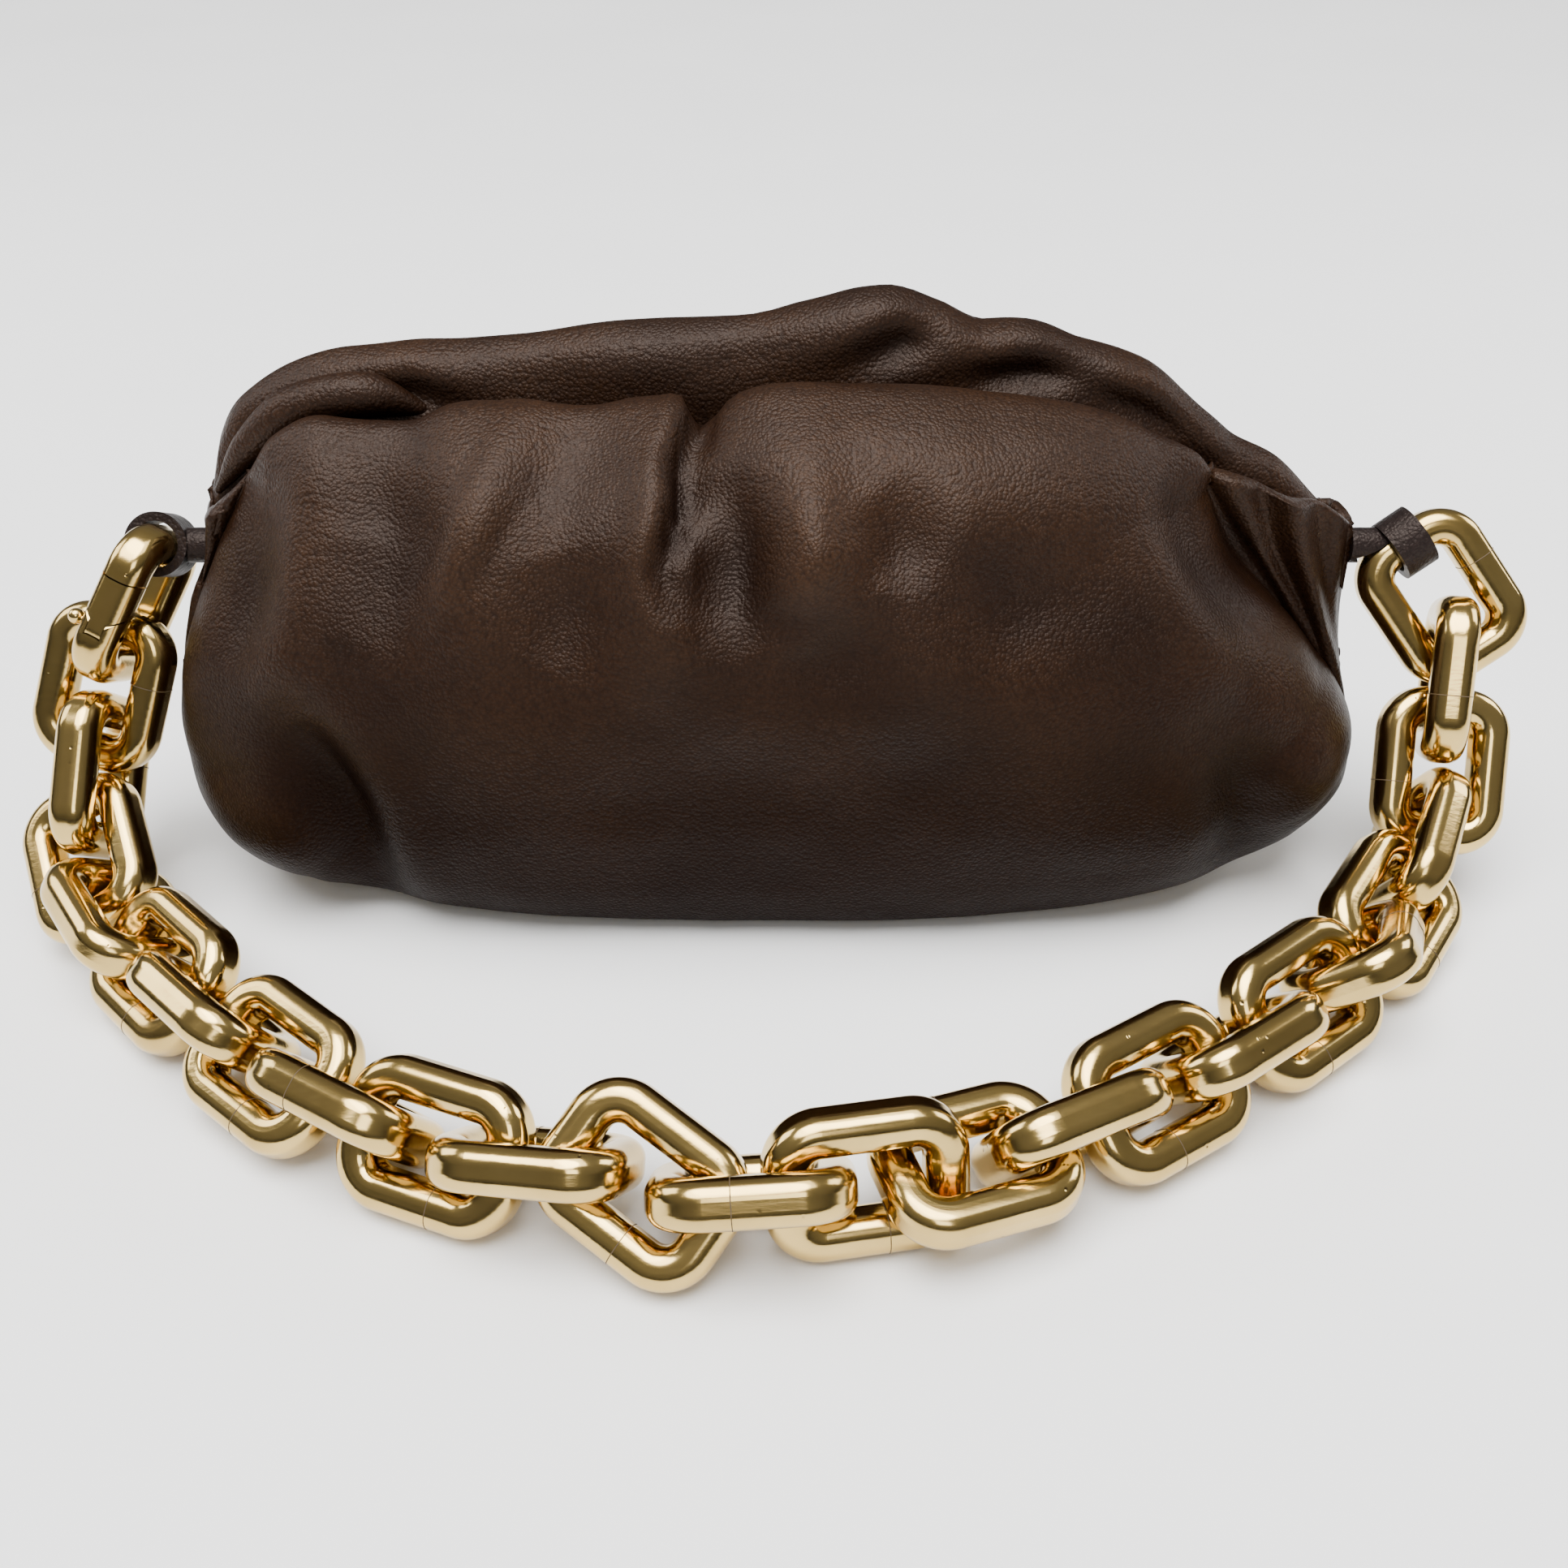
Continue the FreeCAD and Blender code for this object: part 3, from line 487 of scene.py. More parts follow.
def bake_modifiers(piece: Piece) -> None:
    """Turn a piece's modifiers into plain mesh.

    Args:
        piece: The piece.
    """
    graph = bpy.context.evaluated_depsgraph_get()
    mesh = bpy.data.meshes.new_from_object(piece.evaluated_get(graph))
    piece.modifiers.clear()
    piece.data = mesh


class PathTool:
    """A node group that grows small pieces along a line, with named inputs."""

    def __init__(self, name: str, sizes: Sequence[str]) -> None:
        """Start the group with its inputs and its line.

        Args:
            name: The group's name.
            sizes: Names of the sizes that it asks for, besides its finish.
        """
        self.group = bpy.data.node_groups.new(name, "GeometryNodeTree")
        self.names: dict[str, str] = {}
        kinds = {"Geometry": "NodeSocketGeometry", **dict.fromkeys(sizes, "NodeSocketFloat")}
        for label, kind in {**kinds, "Finish": "NodeSocketMaterial"}.items():
            socket = self.group.interface.new_socket(label, in_out="INPUT", socket_type=kind)
            self.names[label] = socket.identifier
        self.group.interface.new_socket("Geometry", in_out="OUTPUT", socket_type="NodeSocketGeometry")
        self.graph = NodeGraph(self.group)
        self.given = self.graph.add("NodeGroupInput").outputs
        self.line = self.graph.add("GeometryNodeMeshToCurve", {"Mesh": self.given["Geometry"]}).outputs[0]

    def close(self, geometry: Socket) -> None:
        """End the group in real, smooth geometry with its finish.

        Args:
            geometry: What the group has made.
        """
        real = self.graph.add("GeometryNodeRealizeInstances", {"Geometry": geometry}).outputs[0]
        smooth = self.graph.add("GeometryNodeSetShadeSmooth", {"Geometry": real}).outputs[0]
        values = {"Geometry": smooth, "Material": self.given["Finish"]}
        dressed = self.graph.add("GeometryNodeSetMaterial", values).outputs[0]
        self.graph.add("NodeGroupOutput", {"Geometry": dressed})

    def grow(self, name: str, paths: Sequence[Array], closed: bool, values: dict[str, object]) -> Piece:
        """Run the group along lines.

        Args:
            name: The piece's name.
            paths: Points of each line, in millimetres.
            closed: Whether each line runs back to its start.
            values: The group's inputs by name.

        Returns:
            The finished piece as plain mesh.
        """
        points: list[list[float]] = []
        edges: list[tuple[int, int]] = []
        for path in paths:
            first = len(points)
            points.extend((path * MM).tolist())
            edges.extend((at, at + 1) for at in range(first, len(points) - 1))
            if closed:
                edges.append((len(points) - 1, first))
        mesh = bpy.data.meshes.new(name)
        mesh.from_pydata(points, edges, [])
        piece = bpy.data.objects.new(name, mesh)
        bpy.context.scene.collection.objects.link(piece)
        grown = piece.modifiers.new("grown", "NODES")
        grown.node_group = self.group
        for label, value in values.items():
            grown[self.names[label]] = value
        bake_modifiers(piece)
        return piece


def stitch_tool() -> PathTool:
    """Make the group that sews a row of stitches along a line.

    Returns:
        The group.
    """
    tool = PathTool("stitch_row", ("Spacing", "Stitch Length", "Thread Radius"))
    graph, given = tool.graph, tool.given
    values = {"Curve": tool.line, "Length": given["Spacing"]}
    spaced = graph.add("GeometryNodeResampleCurve", values, mode="LENGTH").outputs[0]
    ball = graph.add("GeometryNodeMeshUVSphere", {"Segments": 10, "Rings": 8, "Radius": 1.0}).outputs[0]
    half = graph.math("MULTIPLY", given["Stitch Length"], 0.5)
    values = {"X": given["Thread Radius"], "Y": given["Thread Radius"], "Z": half}
    shape = graph.add("ShaderNodeCombineXYZ", values).outputs[0]
    tangent = graph.add("GeometryNodeInputTangent").outputs[0]
    turn = graph.add("FunctionNodeAlignRotationToVector", {"Vector": tangent}, axis="Z").outputs[0]
    values = {"Points": spaced, "Instance": ball, "Rotation": turn, "Scale": shape}
    tool.close(graph.add("GeometryNodeInstanceOnPoints", values).outputs[0])
    return tool


def joint_line_tool() -> PathTool:
    """Make the group that draws a fine raised line along a closed path.

    Returns:
        The group.
    """
    tool = PathTool("joint_line", ("Line Radius",))
    values = {"Resolution": 6, "Radius": tool.given["Line Radius"]}
    ring = tool.graph.add("GeometryNodeCurvePrimitiveCircle", values).outputs[0]
    values = {"Curve": tool.line, "Profile Curve": ring}
    tool.close(tool.graph.add("GeometryNodeCurveToMesh", values).outputs[0])
    return tool


@dataclass
class LeatherHalf:
    """One half of the bag's leather: its panel, the gussets at its two ends and the lip that it rolls into.

    Sizes are millimetres. The lip's height runs by the share of the half length, the edges, the seams and
    the squareness by height, the gusset tops by the share from panel to seam, and the profile gives the
    height share and the depth from the middle of the base to the inside of the lip.
    """

    side: Side
    lip: Line
    profile: tuple[Point, ...]
    left_edge: Line
    right_edge: Line
    left_gusset_top: Line
    right_gusset_top: Line
    folds: tuple[Fold, ...]
    gusset_depth: float
    gusset_pleat: float
    left_seam: Line = Line(((0, 112), (9, 142), (20, 154), (40, 162), (60, 162), (80, 159), (98, 155)))
    right_seam: Line = Line(((0, 110), (9, 139), (20, 151), (40, 158), (60, 156.5), (80, 155), (98, 154.5)))
    squareness: Line = Line(((0, 2.7), (70, 2.7), (112, 2.2), (160, 2.2)))
    panel_columns: int = 190
    column_spread: float = 0.8
    least_depth: float = 0.4
    gusset_columns: int = 24
    gusset_room: float = 26.0
    gusset_swell: float = 0.9
    pleat_waves: float = 2.5
    pleat_growth: float = 1.5
    foot_height: float = 20.0
    rows: int = 156
    outside_share: float = 0.6
    row_height: float = 140.0
    closing_depth: float = 14.0
    closed_share: float = 0.08
    thickness: float = 1.6
    softness: float = 1.5
    soft_scale: float = 0.021
    crumple_scale: float = 0.06
    crumple_share: float = 0.35
    still_height: float = 14.0
    frame_depth: float = 1.4
    freeing_depth: float = 3.2
    meeting_height: float = 60.0
    meeting_gap: float = 0.8
    # Painted shade and highlight of the folds: the lift of full strength, where the painted shade starts and
    # the strongest painted highlight.
    full_lift: float = 7.0
    hollow_start: float = 0.1
    most_crest_highlight: float = 0.8
    stitch_lift: float = 0.25
    stitch_column: int = 3
    lining_top: Line = Line(((0, 86), (6.5, 84), (11, 60), (80, 60)))
    lining_rows: int = 60
    lining_step: int = 2
    lining_gap: float = 0.5

    def profile_rows(self) -> tuple[Array, Array]:
        """Space rows evenly along the profile.

        Returns:
            Height shares and depths, in the profile's order.
        """
        points = np.array(self.profile, float)
        scaled = points * np.array([self.row_height, 1.0])
        distance = np.concatenate([[0.0], np.cumsum(np.hypot(*np.diff(scaled, axis=0).T))])
        places = np.linspace(0.0, distance[-1], self.rows)
        share = Line(tuple(zip(distance, points[:, 0]))).at(places)
        depth = Line(tuple(zip(distance, points[:, 1]))).at(places)
        return share, depth

    def gusset(self, share: Array, right: bool) -> Array:
        """Lay out the strip between the panel's end and the side seam.

        Args:
            share: Height share of each row.
            right: Whether it is the right end.

        Returns:
            A grid of points, from the panel to the seam.
        """
        edge = self.right_edge if right else self.left_edge
        seam = self.right_seam if right else self.left_seam
        top = self.right_gusset_top if right else self.left_gusset_top
        q = np.linspace(0.0, 1.0, self.gusset_columns)[None, :]
        z = np.clip(share, 0, 1)[:, None] * top.at(q)
        inner = edge.at(z)
        outer = seam.at(z)
        x = inner + (outer - inner) * q
        room = np.clip((outer - inner) / self.gusset_room, 0.0, 1.0)
        growth = np.clip(z / HINGE_HEIGHT, 0, 1) ** self.pleat_growth
        waves = np.sin(q * math.tau * self.pleat_waves) * np.sin(q * math.pi)
        swell = (1 - q) + self.gusset_swell * np.sin(q * math.pi)
        bulge = self.gusset_depth * swell * np.clip(z / self.foot_height, 0, 1)
        y = self.side.value * (bulge + self.gusset_pleat * room * growth * waves)
        return np.stack([x if right else -x, np.broadcast_to(y, x.shape), z], axis=2)

    def panel(self, share: Array, depth: Array) -> Array:
        """Lay out the panel.

        Args:
            share: Height share of each row.
            depth: Depth of each row.

        Returns:
            A grid of points, from left to right.
        """
        angle = np.linspace(-math.pi / 2, math.pi / 2, self.panel_columns)
        p = (np.sign(angle) * np.abs(np.sin(angle)) ** self.column_spread)[None, :]
        z = share[:, None] * self.lip.at(p)
        reach = np.where(p < 0, self.left_edge.at(z), self.right_edge.at(z))
        x = p * reach
        power = self.squareness.at(z)
        bow = np.maximum(1 - np.abs(p) ** power, 0) ** (1 / power)
        rest = self.gusset_depth * np.clip(z / self.foot_height, 0, 1) * self.closing(depth)
        y = self.side.value * (rest + np.maximum(depth[:, None] - rest, self.least_depth) * bow)
        return np.stack([x, y, z], axis=2)

    def closing(self, depth: Array) -> Array:
        """Say how far the gusset stands off the middle plane in each row; it closes only under the lip."""
        return np.clip(depth / self.closing_depth, self.closed_share, 1)[:, None]

    def drape(self, grid: Array, free: Array) -> tuple[Array, Array]:
        """Press the folds and the leather's own softness into a grid, clear of the floor and the other half.

        Args:
            grid: Points of the half.
            free: How far each row can fold, down to 0 where it lies flat on the frame.

        Returns:
            The draped grid and each point's lift in millimetres.
        """
        facing = self.side.value
        x, z = grid[..., 0], grid[..., 2]
        lift = sum(fold.rise(x, z) for fold in self.folds)
        soft = grid_noise(grid, self.soft_scale, (7.0, facing, 3.0))
        crumple = grid_noise(grid, self.crumple_scale, (1.0, facing, 9.0))
        standing = np.clip(z / self.still_height, 0, 1) * free[:, None]
        lift = (lift + self.softness * (soft + self.crumple_share * crumple)) * standing
        draped = grid + grid_normals(grid, self.side) * lift[..., None]
        draped[..., 2] = np.maximum(draped[..., 2], 0.0)
        least = np.where(z > self.meeting_height, self.meeting_gap, 0.0)
        draped[..., 1] = facing * np.maximum(facing * draped[..., 1], least)
        return draped, lift

    def surface(self) -> tuple[Array, Array]:
        """Join gussets and panel into one draped grid.

        Returns:
            The grid and each point's lift.
        """
        share, depth = self.profile_rows()
        left = self.gusset(share, right=False)[:, ::-1]
        right = self.gusset(share, right=True)
        for strip in (left, right):
            strip[..., 1] *= self.closing(depth)
        grid = np.concatenate([left[:, :-1], self.panel(share, depth), right[:, 1:]], axis=1)
        behind = np.arange(self.rows) > np.argmax(share)
        free = np.where(behind, np.clip((depth - self.frame_depth) / self.freeing_depth, 0, 1), 1.0)
        return self.drape(grid, free)

    def build(self, leather: Material, cloth: Material) -> tuple[Piece, Piece]:
        """Make the leather and its lining.

        Args:
            leather: Finish of the outside.
            cloth: Finish of the inside.

        Returns:
            The leather piece and the lining piece.
        """
        name = self.side.name.lower() + "_leather"
        grid, lift = self.surface()
        mesh = grid_mesh(name, grid, self.side is Side.BACK)
        # Painted shade in the hollows of the folds and a painted highlight on their crests, kept for the
        # leather finish.
        shades = {
            "hollow": np.clip(-lift / self.full_lift - self.hollow_start, 0, 1),
            "crest": np.clip(lift / self.full_lift, 0, self.most_crest_highlight),
        }
        for label, values in shades.items():
            shade = mesh.attributes.new(label, "FLOAT", "POINT")
            shade.data.foreach_set("value", values.ravel().astype(np.float32))
        piece = link_object(name, mesh, leather)
        wall = piece.modifiers.new("wall", "SOLIDIFY")
        wall.thickness = self.thickness * MM
        wall.offset = -1.0
        bake_modifiers(piece)
        for vertex in piece.data.vertices:
            vertex.co.z = max(vertex.co.z, 0.0)
        return piece, self.lining(grid, cloth)

    def stitch_lines(self, low: float, high: float) -> list[Array]:
        """Find where the side-seam stitches run on this half.

        Args:
            low: Lowest stitch.
            high: Highest stitch.

        Returns:
            A line of points for each end, in millimetres.
        """
        grid, _ = self.surface()
        outside = grid[: int(self.rows * self.outside_share)]
        lines = []
        for column in (self.stitch_column, -1 - self.stitch_column):
            line = outside[:, column].copy()
            line[:, 1] += self.stitch_lift * self.side.value
            lines.append(line[(line[:, 2] > low) & (line[:, 2] < high)])
        return lines

    def lining(self, grid: Array, cloth: Material) -> Piece:
        """Make the lining, a little inside the leather and up to the leather facing of the mouth.

        Args:
            grid: The leather's points.
            cloth: The finish.

        Returns:
            The lining piece.
        """
        columns = grid[:, :: self.lining_step]
        inner = np.empty((self.lining_rows, columns.shape[1], 3))
        for index in range(columns.shape[1]):
            column = columns[:, index]
            top = self.lining_top.at(np.abs(column[self.rows // 2, 1]))
            places = np.linspace(0.0, np.argmax(column[:, 2] > top), self.lining_rows)
            for axis in range(3):
                inner[:, index, axis] = np.interp(places, np.arange(self.rows), column[:, axis])
        inset = self.thickness + self.lining_gap
        inner -= grid_normals(inner, self.side) * inset
        inner[..., 2] = np.maximum(inner[..., 2], inset)
        name = self.side.name.lower() + "_lining"
        mesh = grid_mesh(name, inner, self.side is Side.FRONT)
        return link_object(name, mesh, cloth)


def front_half() -> LeatherHalf:
    """Describe the front half: a full panel under a low lip, pinched left of its middle.

    Returns:
        The half.
    """
    lip = Line((
        (-1.0, 116), (-0.94, 126), (-0.84, 132), (-0.68, 132), (-0.60, 135), (-0.38, 137), (-0.26, 138),
        (-0.20, 137), (-0.17, 136), (-0.14, 132.5), (-0.11, 136), (-0.06, 140), (0.0, 141), (0.16, 141),
        (0.36, 139), (0.48, 137), (0.67, 135), (0.75, 132), (0.90, 126), (0.96, 122), (1.0, 117),
    ))
    profile = (
        (0.0, 0.0), (0.0, 22.0), (0.0, 44.0), (0.015, 52.0), (0.06, 58.0), (0.15, 62.5), (0.30, 65.0),
        (0.50, 64.0), (0.68, 59.0), (0.82, 49.0), (0.92, 35.0), (0.975, 22.0), (1.0, 11.0), (0.985, 5.0),
        (0.93, 2.2), (0.86, 1.2), (0.81, 1.0),
    )
    pinch = ((-17, 142), (-21, 135), (-25, 129), (-24, 123), (-27, 116), (-30, 110), (-27, 103))
    folds = (
        Fold(pinch, 3.0, 6.5, 2.0),
        Fold(((-33, 132), (-33, 120), (-36, 106)), 5.0, -3.0),
        Fold(((-15, 128), (-11, 116), (-12, 104), (-6, 92)), 9.5, 7.0, 1.8),
        Fold(((-40, 137), (-52, 129), (-62, 120)), 8.0, 2.6, 0.6),
        Fold(((-84, 118), (-72, 110)), 18.0, -4.5),
        Fold(((-58, 112), (-54, 100), (-60, 88)), 12.0, 4.0, 1.0),
        Fold(((-104, 131), (-97, 112), (-102, 88)), 12.0, 4.8, 1.6),
        Fold(((14, 132), (34, 131), (55, 129), (76, 126)), 15.0, -2.4),
        Fold(((3, 127), (7, 115), (5, 101)), 9.0, -4.5),
        Fold(((23, 126), (29, 116), (26, 106)), 9.0, 3.4, 0.8),
        Fold(((8, 98), (14, 92), (4, 82)), 10.0, 3.6, 1.2),
        Fold(((38, 112), (58, 101), (82, 98)), 13.0, 3.2, 1.2),
        Fold(((-147, 48), (-141, 31), (-128, 18)), 15.0, -6.0),
        Fold(((-126, 68), (-117, 44), (-111, 10)), 8.0, 7.5, 2.0),
        Fold(((134, 58), (148, 36)), 13.0, -4.5),
        Fold(((116, 62), (124, 38), (126, 12)), 9.0, 5.0, 1.4),
        Fold(((96, 122), (110, 102), (128, 80)), 7.0, 4.5, 1.8),
        Fold(((-132, 116), (-139, 94), (-148, 76)), 8.0, 3.6, 1.4),
        Fold(((-60, 60), (-20, 52), (30, 58)), 26.0, 2.2),
    )
    left_edge = Line((
        (0, 116), (5, 142), (9, 150), (18, 160), (33, 167), (50, 168), (62, 166), (80, 160), (93, 153),
        (116, 140),
    ))
    right_edge = Line((
        (0, 107), (5, 131), (12, 144), (20, 151), (35, 159), (45, 158), (58, 152), (66, 146), (80, 135),
        (97, 121), (113, 111),
    ))
    return LeatherHalf(
        side=Side.FRONT,
        lip=lip,
        profile=profile,
        left_edge=left_edge,
        right_edge=right_edge,
        left_gusset_top=Line(((0.0, 116), (0.25, 110), (0.8, 103), (1.0, 98))),
        right_gusset_top=Line(((0.0, 117), (0.35, 113), (0.62, 109), (0.82, 104), (1.0, 98))),
        folds=folds,
        gusset_depth=8.5,
        gusset_pleat=3.4,
    )


def back_half() -> LeatherHalf:
    """Describe the back half: a fuller panel whose gathered lip rolls forward over the front one.

    Returns:
        The half.
    """
    lip = Line((
        (-1.0, 106), (-0.975, 120), (-0.92, 131), (-0.83, 139), (-0.72, 143), (-0.63, 144), (-0.49, 145),
        (-0.35, 147), (-0.21, 149), (-0.07, 151), (0.05, 155), (0.14, 158), (0.19, 158), (0.27, 155),
        (0.36, 149), (0.43, 149), (0.53, 145), (0.64, 139), (0.72, 130), (0.81, 120), (0.90, 114), (1.0, 101),
    ))
    profile = (
        (0.0, 0.0), (0.0, 22.0), (0.0, 44.0), (0.015, 51.0), (0.06, 56.5), (0.15, 60.5), (0.30, 62.5),
        (0.50, 61.5), (0.64, 57.0), (0.78, 49.0), (0.89, 37.5), (0.96, 26.0), (1.0, 16.0), (0.985, 9.0),
        (0.95, 5.0), (0.88, 2.2), (0.80, 1.2), (0.745, 1.0),
    )
    folds = (
        Fold(((-136, 119), (-122, 124), (-106, 125)), 4.5, 5.0, 1.4),
        Fold(((-112, 132), (-98, 133), (-84, 129)), 4.0, 4.4, 1.0),
        Fold(((36, 149), (27, 144), (12, 137)), 4.8, 6.6, 1.4),
        Fold(((76, 138), (62, 138), (42, 134)), 4.8, 6.0, 1.2),
        Fold(((80, 133), (94, 128), (108, 121)), 4.2, 5.0, 1.0),
        Fold(((94, 121), (106, 116), (116, 110)), 3.8, 4.0, 0.8),
        Fold(((-60, 120), (-52, 96), (-56, 70)), 13.0, 3.0, 1.0),
        Fold(((44, 124), (36, 100), (40, 72)), 12.0, 3.2, 1.0),
        Fold(((-8, 140), (-4, 118), (-10, 98)), 9.0, 3.6, 1.2),
        Fold(((100, 110), (108, 88), (116, 66)), 11.0, 3.0, 1.0),
        Fold(((-110, 112), (-118, 90), (-126, 66)), 11.0, 3.0, 1.0),
    )
    left_edge = Line((
        (0, 114), (5, 139), (9, 146), (18, 154), (33, 160), (50, 161), (70, 160), (92, 157), (104, 156),
    ))
    right_edge = Line((
        (0, 108), (5, 132), (9, 139), (18, 148), (33, 155), (50, 155), (70, 153), (92, 150), (101, 148),
    ))
    return LeatherHalf(
        side=Side.BACK,
        lip=lip,
        profile=profile,
        left_edge=left_edge,
        right_edge=right_edge,
        left_gusset_top=Line(((0.0, 104), (1.0, 98))),
        right_gusset_top=Line(((0.0, 101), (1.0, 98))),
        folds=folds,
        gusset_depth=7.5,
        gusset_pleat=1.2,
        squareness=Line(((0, 2.7), (70, 2.7), (112, 2.0), (160, 2.0))),
    )


@dataclass(frozen=True)
class Pleat:
    """A roll of gusset leather that shows between the lips near one end, in millimetres along the roll."""

    name: str
    x: Line
    y: Line
    z: Line
    radius: Line
    steps: int = 64
    around: int = 32

    def build(self, leather: Material) -> Piece:
        """Make the roll.

        Args:
            leather: Its finish.

        Returns:
            The roll.
        """
        along = np.linspace(0.0, 1.0, self.steps)
        centre = np.stack([self.x.at(along), self.y.at(along), self.z.at(along)], axis=1)
        forward = np.gradient(centre, axis=0)
        forward /= np.linalg.norm(forward, axis=1, keepdims=True)
        across = np.cross(forward, np.array([0.0, 1.0, 0.0]))
        across /= np.linalg.norm(across, axis=1, keepdims=True)
        beside = np.cross(across, forward)
        angle = np.linspace(0.0, math.tau, self.around)[None, :, None]
        ring = np.cos(angle) * beside[:, None] + np.sin(angle) * across[:, None]
        grid = centre[:, None] + ring * self.radius.at(along)[:, None, None]
        return link_object(self.name, grid_mesh(self.name, grid, False), leather)


def left_pleat() -> Pleat:
    """Describe the roll at the left end.

    Returns:
        The roll.
    """
    return Pleat(
        name="left_pleat",
        x=Line(((0.0, -152), (0.25, -141), (0.5, -126), (0.75, -110), (1.0, -92))),
        y=Line(((0.0, 0.0), (0.25, 0.5), (0.5, 1.5), (0.75, 2.5), (1.0, 5.0))),
        z=Line(((0.0, 108), (0.25, 121), (0.5, 131), (0.75, 134), (1.0, 128))),
        radius=Line(((0.0, 1.0), (0.25, 4.5), (0.5, 6.4), (0.75, 6.0), (1.0, 1.0))),
    )


@dataclass
class Pouch:
    """The bag's soft body: both leather halves with their lining, a pleat and the side-seam stitches.

    blend_low and blend_high are not used; blend_high is the lower edge of the magnets. Sizes are millimetres.
    """

    front: LeatherHalf = field(default_factory=front_half)
    back: LeatherHalf = field(default_factory=back_half)
    pleat: Pleat = field(default_factory=left_pleat)
    blend_low: float = 78.0
    blend_high: float = 112.0
    stitch_low: float = 12.0
    stitch_high: float = 62.0
    stitch_spacing: float = 4.4
    stitch_length: float = 3.2
    thread_radius: float = 0.42

    def build(self, finishes: Finishes) -> None:
        """Make and dress both halves and the pleat, and sew the seams.

        Args:
            finishes: Finishes by name.
        """
        for half in (self.front, self.back):
            leather, lining = half.build(finishes["leather"], finishes["lining"])
            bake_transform(leather)
            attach(lining, "bag")
            for piece in (leather, lining):
                LOG.info("%s: %d faces", piece.name, len(piece.data.polygons))
            if half.side is Side.FRONT:
                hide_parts("pouch_shell", "front_lip")
                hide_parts("lining")
            else:
                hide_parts("back_lip")
        roll = self.pleat.build(finishes["leather"])
        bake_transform(roll)
        LOG.info("%s: %d faces", roll.name, len(roll.data.polygons))
        self.sew(finishes["thread"])

    def sew(self, thread: Material) -> None:
        """Sew both side seams.

        Args:
            thread: Finish of the thread.
        """
        lines = []
        for half in (self.front, self.back):
            lines.extend(half.stitch_lines(self.stitch_low, self.stitch_high))
        values = {
            "Spacing": self.stitch_spacing * MM,
            "Stitch Length": self.stitch_length * MM,
            "Thread Radius": self.thread_radius * MM,
            "Finish": thread,
        }
        stitches = stitch_tool().grow("side_stitches", lines, False, values)
        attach(stitches, "bag")
        LOG.info("side_stitches: %d faces", len(stitches.data.polygons))


@dataclass
class Chain:
    """The gold chain strap: its links stay as built, with a fine joint line round a leg of each one.

    The sizes are those of a link, in millimetres. The first link has its gate instead of a joint line.
    """

    width: float = 36.0
    bar: float = 10.0
    depth: float = 11.4
    rounding: float = 4.4
    line_radius: float = 0.13
    line_place: float = 4.0
    corner_steps: int = 7

    def build(self, finishes: Finishes) -> None:
        """Dress the links and draw their joint lines.

        Args:
            finishes: Finishes by name.
        """
        tool = joint_line_tool()
        bodies = frame["record"]["behaviour"]["bodies"]
        carrier = {node: body for body, nodes in bodies.items() for node in nodes}
        values = {"Line Radius": self.line_radius * MM, "Finish": finishes["seam"]}
        links = sorted(name for name in frame["nodes"] if name.startswith("link_"))
        for name in links + ["clasp_gate", "gate_pin"]:
            dress(frame["nodes"][name], finishes["gold"])
        for index, name in enumerate(links[1:]):
            path = self.joint_path(name, 1 if index % 2 else -1)
            line = tool.grow(name + "_joint_line", [path], True, values)
            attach(line, carrier[name])
        LOG.info("chain: %d links dressed", len(links))

    def joint_path(self, name: str, side: int) -> Array:
        """Find the path round one leg of a link.

        Args:
            name: The link.
            side: Which leg, 1 or -1.

        Returns:
            Points round the leg, in millimetres.
        """
        mesh = frame["nodes"][name].data
        points = np.array([vertex.co for vertex in mesh.vertices]) / MM
        centre = points.mean(0)
        spread = points - centre
        _, axes = np.linalg.eigh(spread.T @ spread)
        normal, across, along = axes.T
        middle = centre + along * self.line_place * side + across * side * (self.width - self.bar) / 2
        flat_a = self.bar / 2 - self.rounding
        flat_n = self.depth / 2 - self.rounding
        path = []
        for quarter, (sign_a, sign_n) in enumerate(((1, 1), (-1, 1), (-1, -1), (1, -1))):
            for step in range(self.corner_steps):
                angle = math.pi / 2 * (quarter + step / (self.corner_steps - 1))
                a = sign_a * flat_a + self.rounding * math.cos(angle)
                n = sign_n * flat_n + self.rounding * math.sin(angle)
                path.append(middle + across * a + normal * n)
        return np.array(path)


@dataclass
class Hardware:
    """Frame, magnets, board and tabs, which keep the shapes they were built with."""

    finish_names: tuple[tuple[str, str], ...] = (
        ("front_jaw", "frame"), ("back_jaw", "frame"), ("hinge_blocks", "frame"), ("hinge_pins", "frame"),
        ("front_magnets", "magnet"), ("back_magnets", "magnet"), ("base_board", "board"),
        ("left_tab", "tab"), ("right_tab", "tab"),
    )

    def build(self, finishes: Finishes) -> None:
        """Dress the nodes.

        Args:
            finishes: Finishes by name.
        """
        for node, finish in self.finish_names:
            dress(frame["nodes"][node], finishes[finish])
        LOG.info("hardware: %d nodes dressed", len(self.finish_names))


@dataclass(frozen=True)
class SoftLight:
    """A square soft light that faces the bag, in metres and watts."""

    name: str
    place: Place
    size: float
    power: float


